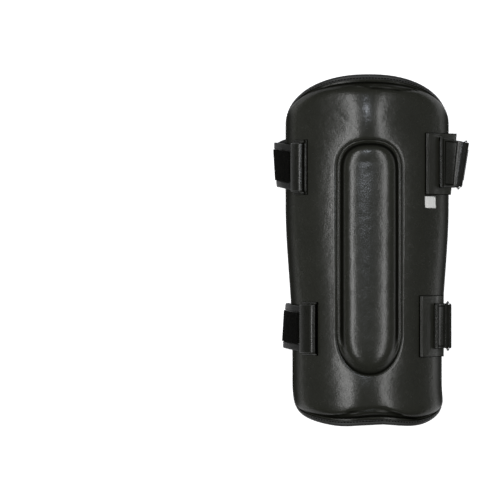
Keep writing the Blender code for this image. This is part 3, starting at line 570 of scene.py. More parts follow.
def makePadCover():
    rings, paintedShades = [], []
    for across, height, paintedShade, footHeight, footPaintedShade in padShape["ridgeRows"]:
        half, marks = [], []
        for x, y, along in ridgeHalf(across):
            foot = smoothStep(along * padShape["footReach"]) if y < 0 else 0.0
            rise = (height + (footHeight - height) * foot) * ridge["height"]
            half.append((x, y, topLevel + rise - archDepth(x, y)))
            marks.append(paintedShade + (footPaintedShade - paintedShade) * foot)
        rings.append(wholeRing(half))
        paintedShades.append(marks + marks[::-1])
    rimRows, columns = padShape["rimRows"], len(rings[0])
    outer = bodyHalf(rimRows[0][0] * guard["sideRim"], rimRows[0][1] * guard["endRim"])
    for out, paintedShade in padShape["panelRows"]:
        rings.append(ringAt(towardRidge(outer, out)))
        paintedShades.append([paintedShade] * columns)
    rings += [rimRing(*row[:4]) for row in rimRows] + innerRings(guard["padThickness"], 0.0)[1:]
    for *_, sideMark, endMark in rimRows:
        marks = [sideMark + (endMark - sideMark) * along * along for _, _, along in outer]
        paintedShades.append(marks + marks[::-1])
    paintedShades += [[0] * columns] * (len(rings) - len(paintedShades))
    paintedShades, rings = curveThrough(paintedShades, padShape["steps"]), finerRings(rings, padShape["steps"])
    # painted shade: each point takes the darkest of its row's shade, the sides' shade and the creases'
    # shade
    paintedShades = [[max(mark, edgeShade(x, y), creases(x, y)[1]) for mark, (x, y, z) in zip(marks, ring)]
               for marks, ring in zip(paintedShades, rings)]
    pad = layRings("padCover", rings, smoothLevels=1, paintedShades=paintedShades)
    return waveFace(pad, 1, padShape["facing"], padLift)


def innerRings(below, inset):
    last = padShape["rimRows"][-1]
    outer = bodyHalf(last[0] * guard["sideRim"] + inset, last[1] * guard["endRim"] + inset)
    halves = [outer] + [towardRidge(outer, out) for out in padShape["innerOut"]]
    halves += [ridgeHalf(across) for across in padShape["innerAcross"]]
    return [ringAt(half, below) for half in halves]


padCover = settle(sagFoot(makePadCover()), padLeather, "black_leather", "front_pad")
print("front pad made")

liningShape = {
    "gap": 0.3, "thickness": 2.0, "inset": 0.6, "unevenness": 0.35, "wave": 22.0, "facing": 0.2, "steps": 4,
}


def makePadLining():
    near = guard["padThickness"] + liningShape["gap"]
    far = near + liningShape["thickness"]
    rings = innerRings(near, liningShape["inset"])[::-1] + innerRings(far, liningShape["inset"])
    lining = layRings("padLining", finerRings(rings, liningShape["steps"]))
    return waveFace(
        lining, -1, liningShape["facing"],
        lambda x, y, z: liningShape["unevenness"] * wander(x, y, z, liningShape["wave"], 5.0),
    )


padLining = settle(sagFoot(makePadLining()), brushedLining, "lining_fabric", "back_lining")
print("lining made")

# Edge binding: a satin tape rolled round the flange, and its stitches

edgingShape = {
    "rows": (  # the same shares as the pad's rim rows, and the painted shade
        (0.124, 0.70, 0.360, 0.712, 0.9), (0.108, 0.60, 0.395, 0.684, 0.0),
        (0.098, 0.49, 0.430, 0.708, 0.9), (0.082, 0.38, 0.465, 0.684, 0.0),
        (0.114, 0.11, 0.561, 0.704, 0.1), (0.210, 0.012, 0.657, 0.771, 0.4),
        (0.34, -0.02, 0.75, 0.865, 0.6), (0.476, 0.012, 0.830, 0.957, 0.4),
        (0.562, 0.11, 0.850, 1.029, 0), (0.58, 0.40, 0.75, 1.045, 0), (0.562, 0.70, 0.655, 1.029, 0),
        (0.490, 0.70, 0.610, 0.968, 0), (0.476, 0.106, 0.774, 0.968, 0),
        (0.210, 0.106, 0.603, 0.761, 0), (0.224, 0.70, 0.420, 0.761, 0.9),
    ),
    "seamRow": (0.098, 0.49, 0.425, 0.694), "thread": (1.9, 1.0, 0.7), "pitch": 3.1, "pucker": 0.22,
    "puckerSize": 5.5, "steps": 3,
}


def makeEdgeBinding():
    rows = edgingShape["rows"] + edgingShape["rows"][:1]
    rings = finerRings([rimRing(*row[:4]) for row in rows], edgingShape["steps"])
    rings = [[(x, y, z + edgingShape["pucker"] * wander(x, y, 0.0, edgingShape["puckerSize"], 2.0))
              for x, y, z in ring] for ring in rings]
    marks = [mark for (mark,) in curveThrough([row[4:] for row in rows], edgingShape["steps"])]
    return layRings("edgeBinding", rings, paintedShades=[[mark] * len(rings[0]) for mark in marks])


def sewEdge():
    ring = rimRing(*edgingShape["seamRow"])
    thread = makeThread(edgingShape["thread"])
    seam = [(point, (0.0, 0.0, 1.0)) for point in ring + ring[:1]]
    stitches = sewAlong("edgeStitches", [seam], thread, edgingShape["pitch"])
    bpy.data.objects.remove(thread, do_unlink=True)
    return stitches


settle(sagFoot(makeEdgeBinding()), rimSatin, "binding_tape", "edge_binding")
settle(sagFoot(sewEdge()), greyThread, "binding_tape")
print("edge binding made")


# A flat band along a route

bandShape = {
    "rim": 1.3,  # how far its edges are rounded, in half thicknesses
    "rimSteps": 3, "tipTurns": 18,
    "crowd": 0.55,  # how much its columns crowd towards the edges
    "longest": 1.4, "shortest": 0.3,
}


class Ribbon:
    def __init__(self, stations):  # x, z, middle y, lean in plan, share of the panel's slope followed
        self.stations = stations
        self.length = [0.0]
        for a, b in zip(stations, stations[1:]):
            self.length.append(self.length[-1] + hypot(b[0] - a[0], b[1] - a[1]))
        self.normal = []
        last = len(stations) - 1
        for i in range(len(stations)):
            a, b = stations[max(0, i - 1)], stations[min(last, i + 1)]
            size = hypot(b[0] - a[0], b[1] - a[1])
            self.normal.append(((b[1] - a[1]) / size, -(b[0] - a[0]) / size))

    def between(self, along):
        along = min(max(along, 0.0), self.length[-1])
        low = min(bisect_right(self.length, along) - 1, len(self.length) - 2)
        share = (along - self.length[low]) / (self.length[low + 1] - self.length[low])
        station = [a + (b - a) * share for a, b in zip(self.stations[low], self.stations[low + 1])]
        normal = [a + (b - a) * share for a, b in zip(self.normal[low], self.normal[low + 1])]
        return station, normal

    def at(self, along, across, out):
        (x, z, middle, lean, hug), (nx, nz) = self.between(along)
        y = middle + across
        drop = archDepth(x, y) - archDepth(x, middle) if hug > 0 else 0.0
        return (x + out * nx + lean * across, y, z + out * nz - hug * drop)

    def lengthAt(self, x, first=0):
        for i in range(first, len(self.stations) - 1):
            a, b = self.stations[i][0], self.stations[i + 1][0]
            if min(a, b) <= x <= max(a, b) and a != b:
                return self.length[i] + (self.length[i + 1] - self.length[i]) * (x - a) / (b - a)
        raise ValueError(f"the ribbon never passes {x}")

    def stops(self, start, end, step):  # lengths between two ends, closer where the ribbon turns
        found = [start]
        inner = [s for s in self.length if start < s < end]
        for stop in inner + [end]:
            while stop - found[-1] > step * bandShape["longest"]:
                found.append(found[-1] + step)
            if stop - found[-1] > bandShape["shortest"]:
                found.append(stop)
        found[-1] = end
        return found


# A closed band: relief lifts its two faces, taper narrows it and shade says how much painted shade a point
# takes
def slab(name, ribbon, start, end, width, low, high, step, columns, relief=None, tip=False,
         taper=None, shade=None):
    middle, half = (low + high) / 2, (high - low) / 2
    rim = min(half * bandShape["rim"], width / 4)
    radius = width / 2
    stops = ribbon.stops(start + rim, (end - radius) if tip else (end - rim), step)
    quarter = pi / 2
    ends = [rim * (1 - cos(quarter * i / bandShape["rimSteps"])) for i in range(bandShape["rimSteps"])]
    stops = [start + e for e in ends] + stops
    if tip:
        turns = bandShape["tipTurns"]
        stops += [end - radius + radius * sin(quarter * i / turns) for i in range(1, turns + 1)]
    else:
        stops += [end - e for e in reversed(ends)]
    even = [2 * i / columns - 1 for i in range(columns + 1)]
    crowd = bandShape["crowd"]
    spread = [crowd * sin(quarter * s) + (1 - crowd) * s for s in even]
    rings, paintedShades = [], []
    for along in stops:
        reach = radius * (taper(ribbon.between(along)[0][0]) if taper else 1)
        if tip and along > end - radius:
            reach = sqrt(max(0.0, radius * radius - (along - end + radius) ** 2))
        edgeAlong = min(1.0, (along - start) / rim, 1.0 if tip else (end - along) / rim)
        ring, marks = [], []
        for face in (1, -1):
            for s in (spread if face > 0 else reversed(spread[1:-1])):
                across = s * reach
                edge = min(1.0, (reach - abs(across)) / rim, edgeAlong)
                share = sqrt(max(0.0, 1 - (1 - edge) ** 2))
                lift = relief(along - start, across, face) * share if relief else 0.0
                ring.append(ribbon.at(along, across, middle + face * (half * share + lift)))
                nearest = min(reach - abs(across), along - start, end - along)
                marks.append(shade(along - start, across, nearest) if shade else 0.0)
        rings.append(ring)
        paintedShades.append(marks)
    return layRings(name, rings, paintedShades=paintedShades)


# Straps


def strapPlaces(strap):
    middle = strap["end"] * (guard["length"] / 2 - strap["fromEnd"])
    side = halfWidth(middle)
    barX = side + strap["pastRight"] - cut["thickness"] - gap - cut["wire"] / 2
    return dict(
        strap, middle=middle, side=side, reachLeft=side + strap["pastLeft"], barX=barX,
        tip=barX - strap["foldLength"],
        patchEnd=barX - strap["foldLength"] + cut["hookLength"] + cut["patchClear"],
        coverFar=side - strap["coverInset"],
        coverNear=side - strap["coverInset"] - strap["coverWidth"],
        coverMiddle=middle + strap["coverShift"], tabNear=barX - strap["tabLength"],
        tabFar=barX - strap["tabClear"], loopNear=barX - strap["loopLength"],
    )


def bowed(strap, x):
    share = x / strap["reachLeft"]
    return strap["middle"] + strap["bow"] * (1 - share * share)


# How a strap bends along its route, as the frame's solids do
bends = {
    "stepRun": 12.0, "entryRun": 20.0, "rimRun": 8.0, "rimDip": 1.4, "barRun": 2.4, "tuck": 2.0,
    "barTurns": 4, "steps": 8,
}


def strapRoute(strap):
    half, stations = halfStrap, []
    low = half + cut["tape"] + gap
    left, side, tip, barX = low - strap["reachLeft"], -strap["side"], strap["tip"], strap["barX"]
    coverY, middle, lean = strap["coverMiddle"], strap["middle"], strap["leanLeft"]

    def add(x, z, y, slant=0.0, hug=0.0):
        stations.append((x, z, y, slant, hug))

    for i in range(3):
        reach = strap["coverNear"] + (strap["coverFar"] - strap["coverNear"]) * i / 3
        x, _, z = panelPoint(-reach, coverY, cut["seat"] + half)
        add(x, z, coverY, 0.0, 1.0)
    liftX, _, liftZ = panelPoint(-strap["coverFar"] - gap, middle, cut["seat"] + half)
    add(liftX, liftZ, coverY, 0.0, 1.0)
    add((liftX + left * 2) / 3, (liftZ + turnLevel) / 2, middle - half, lean / 2, 0.9)
    add(left, turnLevel, middle, lean)
    add(left + bends["tuck"], turnLevel / 2, middle, lean)
    under = spanLevel - bends["rimDip"]
    add(side - half, under, bowed(strap, side - half), lean / 2)
    entry, step = side + bends["entryRun"], tip - bends["stepRun"]
    rim = strap["side"] - bends["rimRun"] / 2
    for x, z in ((side + bends["rimRun"], under), (entry, low), ((entry + step) / 2, low), (step, low),
                 (tip - gap, spanLevel), (tip + bends["stepRun"], spanLevel),
                 (strap["side"] / 2, spanLevel), (rim, spanLevel)):
        add(x, z, bowed(strap, x))
    middle, lean = bowed(strap, barX), strap["leanRight"]
    fold = cut["wire"] / 2 + gap + half
    add(barX - fold - bends["barRun"], spanLevel + half / 2, middle, lean)
    add(barX - fold - gap, (spanLevel + barLevel) / 2, middle, lean)
    for i in range(bends["barTurns"] + 1):
        angle = pi * (1 - i / bends["barTurns"])
        add(barX + fold * cos(angle), barLevel + fold * sin(angle), middle, lean)
    add(barX + fold - bends["tuck"], barLevel / 2, middle, lean)
    add(barX - fold, half * 2, bowed(strap, barX - fold), lean)
    folded = [(rim, half)]
    if strap["patch"]:
        over, past = half + cut["patch"] + gap, strap["patchEnd"] - bends["tuck"]
        start = barX - cut["patchStart"] + bends["tuck"]
        folded = [(start, over), (past, over), (past - bends["rimRun"], half)]
    width = cut["width"]
    for x, z in folded + [(tip + width * 2 / 3, half), (tip + width / 3, half), (tip, half)]:
        add(x, z, bowed(strap, x))
    return Ribbon(curveThrough(stations, bends["steps"]))


strapFace = {
    "step": 1.9, "columns": 34,
    "edgeRun": 0.8,  # how softly it dips under its edging, and where its own puffs end
    "puffRun": 3.5, "puff": 0.25, "puffSize": 14.0, "pucker": 0.18, "puckerSize": 6.0,
}


def strapRelief(along, across, face):
    past = abs(across) - cut["width"] / 2 + cut["edging"]
    dip = (cut["edgeThickness"] - cut["thickness"]) / 2
    under = smoothStep((past + strapFace["edgeRun"]) / strapFace["edgeRun"]) * dip
    puff = strapFace["puff"] * wander(along, across, 0.0, strapFace["puffSize"], 4.0)
    puff += strapFace["pucker"] * wander(along * 1.6, across, 3.0, strapFace["puckerSize"], 9.0)
    return under + puff * (1 - smoothStep((past + strapFace["puffRun"]) / strapFace["puffRun"]))


edgingBand = {
    "step": 2.2, "turns": 16,
    # its outer side: height over the strap, share of its width, and a shift
    "outer": ((-0.15, 1, 0), (0.0, 1, -0.5), (0.06, 0.6, 0), (0.0, 0.25, 0), (-0.35, 0, 0.25)),
    "lip": 0.62, "lipRound": 0.4, "throat": -0.25,  # its inner side, from the strap's middle plane
    "side": 0.45, "swell": 0.10, "swellSize": 7.0, "swellsPast": 0.9, "seamInset": 1.3,
    "seamRise": 0.02, "thread": (2.2, 0.75, 0.6), "pitch": 3.3,
}


def edgePath(ribbon):  # along the strap's edge: up one side, round the tip and back
    straight = ribbon.stops(0.0, ribbon.length[-1] - cut["width"] / 2, edgingBand["step"])
    turns = edgingBand["turns"]
    path = [(along, None) for along in straight]
    path += [(straight[-1], pi / 2 * (1 - 2 * i / turns)) for i in range(1, turns)]
    return path + [(along, "back") for along in reversed(straight)]


def edgeSpot(ribbon, spot, inset, out):
    along, turn = spot
    reach = cut["width"] / 2 - inset
    if turn is None:
        return ribbon.at(along, reach, out)
    if turn == "back":
        return ribbon.at(along, -reach, out)
    return ribbon.at(along + reach * cos(turn), reach * sin(turn), out)


def makeStrapEdging(name, ribbon):
    top, wall, inset = halfStrap, cut["edgingWall"], cut["edging"]
    lip = edgingBand["lip"] - top
    outer = [(inset * share + shift, top + rise) for rise, share, shift in edgingBand["outer"]]
    outer += [(0.0, edgingBand["side"])]
    inner = [(inset, lip), (wall + edgingBand["lipRound"], lip), (wall, edgingBand["throat"])]
    section = outer + [(i, -o) for i, o in reversed(outer)]
    section += inner + [(i, -o) for i, o in reversed(inner)]
    path = edgePath(ribbon)
    rings = [[edgeSpot(ribbon, path[0], inset / 2, 0.0)] * len(section)]
    for number, spot in enumerate(path):
        ring = []
        for i, o in section:
            swell = edgingBand["swell"] * wander(number * 2.2, i, 0.0, edgingBand["swellSize"], 1.0)
            swell *= (1 if o > 0 else -1) * (abs(o) > edgingBand["swellsPast"])
            ring.append(edgeSpot(ribbon, spot, i, o + swell))
        rings.append(ring)
    rings.append([edgeSpot(ribbon, path[-1], inset / 2, 0.0)] * len(section))
    return layRings(name, rings)


def seamSpot(here, above):
    here = Vector(here)
    return here, (Vector(above) - here).normalized()


def edgingSeams(ribbon):
    inset = cut["edging"] - edgingBand["seamInset"]
    return [[seamSpot(edgeSpot(ribbon, spot, inset, face * (halfStrap + edgingBand["seamRise"])),
                      edgeSpot(ribbon, spot, inset, face * (halfStrap + 1))) for spot in edgePath(ribbon)]
            for face in (1, -1)]


coverShape = {
    "dip": 1.8, "ease": 0.4, "lap": 2.0, "flat": 1.2, "wall": 1.6, "edgeRound": 1.1, "crown": 1.0,
    "crownPower": 0.8, "wave": 0.30, "waveSize": 17.0,
    "fold": (0.45, 1.4, 0.9),  # height, place and width
    "swell": (1.2, 2.2, 2.9), "dimple": (0.55, 2.4, 1.0),
    "edge": (0.95, 0.25, 0.5),  # painted shadow along the edges: how dark, where it is darkest and how softly it ends
    # gap is a painted dark line (how dark, place, width), far paints shade over the far part (how dark,
    # from where, how softly), and under paints the underside dark
    "gap": (1.0, 2.1, 0.8), "far": (0.42, 5.4, 1.5), "under": 0.9, "columns": 22, "rows": 70,
}


def coverWidth(strap):
    return strap["coverFar"] - strap["coverNear"] + coverShape["lap"]


def coverPoint(strap, share, across, top):  # share from the near side to the far one, across up it
    half, width, ease = strap["coverHeight"] / 2, coverWidth(strap), coverShape["ease"]
    ridgeReach = cut["width"] / 2 + cut["coverEase"]
    over = cut["seat"] + gap + cut["thickness"]
    hump = 1 - smoothStep((abs(across) - ridgeReach + ease) / (coverShape["dip"] + ease))
    x = strap["coverNear"] - coverShape["lap"] + width * share
    inward = share * width - strap["coverFold"]
    near = smoothStep((inward - coverShape["flat"]) / coverShape["wall"])
    base = gap + (over - gap) * hump * near
    if top:
        inset = min(share * width, (1 - share) * width, half - abs(across))
        edge = min(1.0, inset / coverShape["edgeRound"])
        base += cut["cover"] * sqrt(max(0.0, 1 - (1 - edge) ** 2))
        arch = sin(pi * min(1, share * 1.05)) ** coverShape["crownPower"]
        base += coverShape["crown"] * hump * near * arch
        height, start, run = coverShape["swell"]
        depth, inset, spread = coverShape["dimple"]
        wave = wander(share * width * 0.4, across, 0.0, coverShape["waveSize"], 7.0) * coverShape["wave"]
        wave += (rib(inward, *coverShape["fold"]) + height * smoothStep((inward - start) / run)) * hump
        wave -= depth * bump(abs(across) - half + inset, spread) * (1 - hump)
        base += wave * edge
    return panelPoint(-x, strap["coverMiddle"] + across, base)


# painted shade on an end cover: along its edges, in a gap line, and over its far part
def coverMark(strap, share, across):
    width = coverWidth(strap)
    edge = min(share * width, (1 - share) * width, strap["coverHeight"] / 2 - abs(across))
    inward = share * width - strap["coverFold"]
    dark, start, run = coverShape["far"]
    mark = min(1.0, darkEdge(edge, *coverShape["edge"]) + rib(inward, *coverShape["gap"]))
    return max(mark, dark * smoothStep((inward - start) / run))


def makeEndCover(name, strap):
    rings, paintedShades = [], []
    rows, columns = coverShape["rows"], coverShape["columns"]
    shares = [0.25 - 0.25 * cos(pi * i / columns) + 0.5 * i / columns for i in range(columns + 1)]
    for row in range(rows + 1):
        even = 2 * row / rows - 1
        across = strap["coverHeight"] / 2 * (0.35 * sin(pi / 2 * even) + 0.65 * even)
        ring = [coverPoint(strap, s, across, 0 < row < rows) for s in shares]
        ring += [coverPoint(strap, s, across, False) for s in reversed(shares[1:-1])]
        rings.append(ring)
        marks = [coverMark(strap, s, across) for s in shares]
        paintedShades.append(marks + [coverShape["under"]] * (columns - 1))
    return layRings(name, rings, paintedShades=paintedShades)


tabShape = {
    "rise": ((0.25, 0.41, 0.675), (0.60, 0.81, 0.24), (1.0, 1.0, 0.0)),  # way out, way up, slope kept
    "ribs": ((0.35, 1.9, 0.9), (-0.35, 3.6, 0.5)),  # height, place and width, a dip below 0
    "seam": (0.25, 2.6, 0.5, 4.0),  # depth, inset, width, and where it starts
    "puff": (0.10, 11.0),
    "edge": (0.95, 0.35, 0.6),  # painted shadow along the edges: how dark, where it is darkest and how softly it ends
    # fold is a painted dark line: how dark, its place, its width, and the edge inset past which it shows
    "fold": (0.6, 3.6, 0.4, 3.0), "step": 0.7, "columns": 80,
}


def anchorRoute(strap):
    middle = strap["middle"]
    height = gap + cut["tab"] / 2
    lift = halfWidth(middle) * cut["liftShare"]
    stations = []
    for x in (strap["tabNear"], (strap["tabNear"] + lift) / 2, lift):
        px, _, pz = panelPoint(x, middle, height)
        stations.append((px, pz, middle, 0.0, 1.0))
    loopMiddle = cut["tab"] / 2 + gap * 1.5 + cut["loop"]
    startX, startZ = stations[-1][:2]
    for out, up, hug in tabShape["rise"]:
        x = startX + (strap["barX"] - startX) * out
        z = startZ + (upperBarLevel - loopMiddle - startZ) * up
        stations.append((x, z, middle, strap["leanRight"] * out, hug))
    return Ribbon(curveThrough(stations, bends["steps"]))


def fromBar(strap, x):
    return min(1.0, max(0.0, (strap["barX"] - x) / strap["loopLength"]))


def loopWidthAt(strap, x):
    bar = cut["loopBarWidth"]
    return bar + (strap["loopWidth"] - bar) * fromBar(strap, x)


loopShape = {
    "layerStep": 3.0, "turns": 8,
    "turnSpread": 1.12,  # how far past half a turn it goes round the bar
    # seamDark, fold, edge and outer are painted shade: along the stitched rectangle, in a line across,
    # along the sides, and over the outer part except on the streak
    "steps": 4, "seam": (0.40, 0.55), "seamDark": (0.9, 0.7), "streak": (0.35, 1.0),
    "ribs": ((0.35, 1.5, 0.9), (-0.35, 3.2, 0.8)), "fold": (0.8, 3.2, 0.8), "grain": (0.07, 7.0),
    "edge": (0.9, 0.3, 0.5), "outer": (0.6, 2.5, 1.5), "stitchSink": 0.1, "stitchPitch": 2.9,
    "step": 0.6, "columns": 64, "boxSteps": 20,
}


def loopRoute(strap, anchor):
    lower = cut["tab"] / 2 + gap + cut["loop"] / 2
    upper = lower + gap + cut["loop"]
    turn = cut["wire"] / 2 + gap + cut["loop"] / 2
    barX = strap["barX"]
    start, end = anchor.lengthAt(strap["loopNear"]), anchor.lengthAt(barX - turn * 2.0)

    def layer(out):
        stations = []
        for along in anchor.stops(start, end, loopShape["layerStep"]):
            (x, z, middle, slant, hug), (nx, nz) = anchor.between(along)
            middle += strap["loopShift"] * fromBar(strap, x)
            stations.append((x - out * nx, z - out * nz, middle, slant, hug))
        return stations

    around = []
    for i in range(loopShape["turns"] + 1):
        angle = pi * (i / loopShape["turns"] - 0.5) * loopShape["turnSpread"]
        x, z = barX + turn * cos(angle), upperBarLevel + turn * sin(angle)
        around.append((x, z, bowed(strap, barX), strap["leanRight"], 0.0))
    return Ribbon(curveThrough(layer(lower) + around + layer(upper)[::-1], loopShape["steps"]))


ringShape = {"cornerTurns": 8, "sides": 18}


def makeWireRing(name, strap):
    wire, lean = cut["wire"], strap["leanRight"]
    longHalf = cut["width"] / 2 + cut["ringSideGap"] + wire / 2
    shortHalf, corner = cut["ringSpan"] / 2, wire
    middleZ, barMiddle = (barLevel + upperBarLevel) / 2, bowed(strap, strap["barX"])
    path = []
    for signY, signZ, first in ((1, 1, 0), (-1, 1, 90), (-1, -1, 180), (1, -1, 270)):
        for i in range(ringShape["cornerTurns"] + 1):
            angle = radians(first + 90 * i / ringShape["cornerTurns"])
            across = signY * (longHalf - corner) + corner * cos(angle)
            up = signZ * (shortHalf - corner) + corner * sin(angle)
            path.append(Vector((strap["barX"] + lean * across, barMiddle + across, middleZ + up)))
    flat = Vector((1.0, -lean, 0.0)).normalized()
    rings = []
    for i, point in enumerate(path):
        ahead = (path[(i + 1) % len(path)] - path[i - 1]).normalized()
        out = ahead.cross(flat).normalized()
        ring = []
        for k in range(ringShape["sides"]):
            angle = 2 * pi * k / ringShape["sides"]
            ring.append(tuple(point + (out * cos(angle) + flat * sin(angle)) * wire / 2))
        rings.append(ring)
    return layRings(name, rings + rings[:1])


def rib(spot, height, at, width):
    return height * bump(spot - at, width)


# painted shadow along a piece's edges
def darkEdge(inset, dark, clear, run):
    return dark * (1 - smoothStep((inset - clear) / run))


def tabRelief(strap):
    depth, inset, width, start = tabShape["seam"]
    puff, size = tabShape["puff"]

    def relief(along, across, face):
        if face > 0:
            return 0.0
        nearest = min(along, strap["tabHeight"] / 2 - abs(across))
        lift = sum(rib(along, *shape) for shape in tabShape["ribs"])
        lift -= depth * bump(nearest - inset, width) * (along > start)
        return lift + puff * wander(along, across, 0.0, size, 6.0)

    return relief


def tabShade(along, across, edge):  # painted shadow round the sewn edges and painted shade along the fold
    *fold, start = tabShape["fold"]
    return darkEdge(edge, *tabShape["edge"]) + rib(along, *fold) * (edge > start)


def boxGap(strap, back, across):  # how far a point of a ring loop lies outside its stitched rectangle
    half = strap["loopWidth"] / 2
    return max(abs(back - strap["boxMiddle"]) - strap["boxHalf"], abs(across) - half + strap["boxEdge"])


def loopRelief(strap, total):
    height, width = loopShape["streak"]
    depth, seamWidth = loopShape["seam"]
    grain, size = loopShape["grain"]

    def relief(along, across, face):
        if face > 0:
            return 0.0
        back = total - along  # from the loop's sewn end on top
        lift = height * bump(back - strap["streak"], width)
        lift -= depth * bump(boxGap(strap, back, across), seamWidth)
        lift += sum(rib(back, *shape) for shape in loopShape["ribs"])
        return lift + grain * wander(along * 2.2, across * 0.3, 0.0, size, 2.0)

    return relief


# painted shade on a ring loop: along its stitched rectangle, its sides, a line across, and its outer part
# except on the streak
def loopShade(strap, total):
    dark, spread = loopShape["seamDark"]
    outer, before, run = loopShape["outer"]
    width = strap["loopWidth"]
    narrow = 1 - cut["loopBarWidth"] / width

    def shade(along, across, edge):
        back = total - along
        side = width / 2 * (1 - narrow * min(1.0, back / (total / 2))) - abs(across)
        past = outer * smoothStep((back - strap["streak"] + before) / run)
        past *= 1 - bump(back - strap["streak"], loopShape["streak"][1])
        sewn = dark * bump(boxGap(strap, back, across), spread)
        return max(darkEdge(side, *loopShape["edge"]), sewn, past, rib(back, *loopShape["fold"]))

    return shade


def boxSeam(ribbon, centre, halfRun, halfAcross, out):  # a stitched rectangle on a ribbon
    steps = loopShape["boxSteps"]
    corners = [(-1, -1), (1, -1), (1, 1), (-1, 1), (-1, -1)]
    seam = []
    for (a, b), (c, d) in zip(corners, corners[1:]):
        for i in range(steps):
            along = centre + (a + (c - a) * i / steps) * halfRun
            across = (b + (d - b) * i / steps) * halfAcross
            seam.append(seamSpot(ribbon.at(along, across, out), ribbon.at(along, across, out - 1)))
    return seam + seam[:1]


tapeShape = {
    "fuzz": 0.22, "fuzzScale": 1.3, "before": 3.0, "after": 6.0,
    "pile": (1.0, 34), "hooks": (2.0, 20), "patch": (2.0, 26),  # step along, and columns
}


def tapeFuzz(along, across, face):
    scale = tapeShape["fuzzScale"]
    return tapeShape["fuzz"] * noise.noise(Vector((along * scale, across * scale, face)))


def makeStrap(prefix, strap):
    ribbon = strapRoute(strap)
    node = prefix.lower()
    length = ribbon.length[-1]
    width = cut["width"] - 2 * (cut["edgingWall"] + gap)
    band = slab(prefix + "StrapLeather", ribbon, gap, length - gap - cut["edgingWall"], width,
                -halfStrap, halfStrap, strapFace["step"], strapFace["columns"], strapRelief, tip=True)
    settle(band, strapLeather, "strap_leather", node + "_strap")
    edging = makeStrapEdging(prefix + "StrapEdging", ribbon)
    settle(edging, edgingSatin, "binding_tape", node + "_strap_binding")
    stitches = sewAlong(prefix + "EdgingStitches", edgingSeams(ribbon), shortThread, edgingBand["pitch"])
    settle(stitches, blackThread, "binding_tape")

    face = halfStrap + gap
    tapeStart = ribbon.lengthAt(-strap["coverFar"] - tapeShape["before"])
    tapeEnd = ribbon.lengthAt(strap["tip"] + cut["hookLength"] + tapeShape["after"])
    pile = slab(prefix + "LoopPile", ribbon, tapeStart, tapeEnd, cut["tapeWidth"], face,
                face + cut["tape"], *tapeShape["pile"], tapeFuzz)
    settle(pile, loopFuzz, "loop_pile", node + "_loop_tape")
    hooks = slab(prefix + "HookStrip", ribbon, length - cut["hookLength"],
                 length - cut["width"] / 3, cut["hookWidth"], face,
                 face + cut["tape"], *tapeShape["hooks"])
    settle(hooks, hookPlastic, "hook_tape", node + "_hook_tape")
    if strap["patch"]:
        folded = len(ribbon.stations) // 2
        patchX = strap["barX"] - cut["patchStart"]
        patch = slab("UpperWovenPatch", ribbon, ribbon.lengthAt(patchX, folded),
                     ribbon.lengthAt(strap["patchEnd"], folded),
                     cut["tapeWidth"], -face - cut["patch"], -face, *tapeShape["patch"])
        settle(patch, patchWeave, "woven_black", "upper_woven_patch")

    cover = settle(makeEndCover(prefix + "EndCover", strap), strapLeather, "strap_leather",
                   node + "_end_cover")

    anchor = anchorRoute(strap)
    half = cut["tab"] / 2
    tab = slab(prefix + "AnchorTab", anchor, 0.0, anchor.lengthAt(strap["tabFar"]), strap["tabHeight"],
               -half, half, tabShape["step"], tabShape["columns"], tabRelief(strap), shade=tabShade)
    settle(tab, tabLeather, "strap_leather", node + "_anchor_tab")
    loop = loopRoute(strap, anchor)
    half, total = cut["loop"] / 2, loop.length[-1]
    leather = slab(prefix + "RingLoop", loop, 0.0, total, strap["loopWidth"], -half, half,
                   loopShape["step"], loopShape["columns"], loopRelief(strap, total),
                   taper=lambda x: loopWidthAt(strap, x) / strap["loopWidth"],
                   shade=loopShade(strap, total))
    settle(leather, strapLeather, "strap_leather", node + "_ring_loop")
    seam = boxSeam(loop, total - strap["boxMiddle"], strap["boxHalf"],
                   strap["loopWidth"] / 2 - strap["boxEdge"], loopShape["stitchSink"] - half)
    settle(sewAlong(prefix + "LoopStitches", [seam], shortThread, loopShape["stitchPitch"]),
           greyThread, "strap_leather")
    settle(makeWireRing(prefix + "WireRing", strap), ringSteel, "ring_steel", node + "_ring")


shortThread = makeThread(edgingBand["thread"])
for prefix, strap in (("Upper", straps["upper"]), ("Lower", straps["lower"])):
    makeStrap(prefix, strapPlaces(strap))
    print(prefix.lower(), "strap made")
bpy.data.objects.remove(shortThread, do_unlink=True)

# Size label: a bare woven strip

labelShape = {
    "width": 11.4, "length": 12.0, "thickness": 0.5, "inset": 21.2, "clear": 1.6, "steps": 14,
    "columns": 8, "curl": 0.5, "curlFrom": 0.6,
}


def makeLabel():
    strap = strapPlaces(straps["upper"])
    top = strap["middle"] - strap["tabHeight"] / 2 - labelShape["clear"]
    middleX = strap["side"] - labelShape["inset"]
    steps, flat = labelShape["steps"], labelShape["curlFrom"]
    shares = [k / labelShape["columns"] - 0.5 for k in range(labelShape["columns"] + 1)]
    rings = []
    for i in range(steps + 1):
        y = top - labelShape["length"] * i / steps
        thick = labelShape["thickness"] if 0 < i < steps else 0.0
        curl = labelShape["curl"] * smoothStep((i / steps - flat) / (1 - flat))
        lifts = [(s, thick * (1 if abs(s) < 0.5 else 0.5)) for s in shares]
        lifts += [(s, 0.0) for s in reversed(shares[1:-1])]
        rings.append([panelPoint(middleX + s * labelShape["width"], y, gap + curl + lift)
                      for s, lift in lifts])
    return layRings("bareLabel", rings)


settle(makeLabel(), labelWeave, "woven_white", "size_label")
print("label made")

# Floor, lights and camera

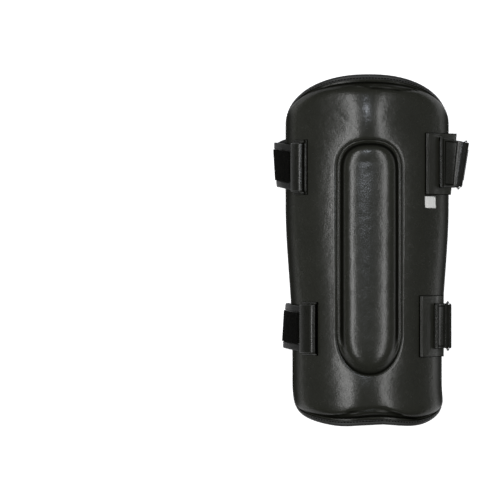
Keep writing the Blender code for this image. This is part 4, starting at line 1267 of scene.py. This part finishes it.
studio = {
    "floor": 12.0,  # in metres, as all the studio's lengths
    "floorDrop": 0.0002, "backdrop": 6.5, "floorColour": (0.93, 0.93, 0.93), "cameraHeight": 2.08,
    "cameraX": -0.1220, "lens": 147.6,
    "boxes": ((-30.5, 12.6), (27.0, 9.8)),  # angle from straight up, and power
    "boxDistance": 1.8, "boxSize": (0.34, 1.5), "topPower": 5.5, "topAt": (-0.14, 0.48, 2.1),
    "topSize": (0.05, 0.34), "topColour": (0.85, 0.9, 1.0), "sky": 0.10,
    "skyColour": (0.94, 0.95, 1.07), "glow": 0.8, "wallGlow": 0.9,
}


def glowing(name, colour, roughness, shine, glow):
    return Finish(name, colour, roughness, Specular_IOR_Level=shine, Emission_Strength=glow,
                  Emission_Color=(1, 1, 1, 1)).material


def hangLamp(name, place, rotation, size, power):
    bpy.ops.object.light_add(type="AREA", location=place, rotation=rotation)
    lamp = bpy.context.object
    lamp.name = name
    lamp.data.shape = "RECTANGLE"
    lamp.data.size, lamp.data.size_y = size
    lamp.data.energy = power
    return lamp


deselectAll()
bpy.ops.mesh.primitive_plane_add(size=studio["floor"], location=(0, 0, -studio["floorDrop"]))
floor = bpy.context.object
floor.name = "floor"
floor.data.materials.append(glowing("paleFloor", studio["floorColour"], 0.9, 0.1, studio["glow"]))
bpy.ops.mesh.primitive_uv_sphere_add(segments=32, ring_count=16, radius=studio["backdrop"])
backdrop = bpy.context.object  # it shows behind the guard, and neither lights it nor shades it
backdrop.name = "backdrop"
backdrop.data.materials.append(glowing("paleWall", (0, 0, 0), 1.0, 0.0, studio["wallGlow"]))
backdrop.visible_diffuse = backdrop.visible_glossy = backdrop.visible_shadow = False

for turn, power in studio["boxes"]:
    angle, far = radians(turn), studio["boxDistance"]
    place = (far * sin(angle), 0, far * cos(angle))
    hangLamp("sideBox", place, (0, angle, 0), studio["boxSize"], power)
topTilt = atan2(studio["topAt"][1], studio["topAt"][2])
topBox = hangLamp("topBox", studio["topAt"], (-topTilt, 0, 0), studio["topSize"], studio["topPower"])
topBox.data.color = studio["topColour"]

world = bpy.data.worlds.new("studio")
world.use_nodes = True
sky = world.node_tree
sky.nodes["Background"].inputs[0].default_value = (*studio["skyColour"], 1)
sky.nodes["Background"].inputs[1].default_value = studio["sky"]
bpy.context.scene.world = world
bpy.context.scene.view_settings.view_transform = "Standard"

bpy.ops.object.camera_add(location=(studio["cameraX"], 0, studio["cameraHeight"]), rotation=(0, 0, 0))
camera = bpy.context.object
camera.data.lens = studio["lens"]
camera.data.sensor_width = 36.0
bpy.context.scene.camera = camera
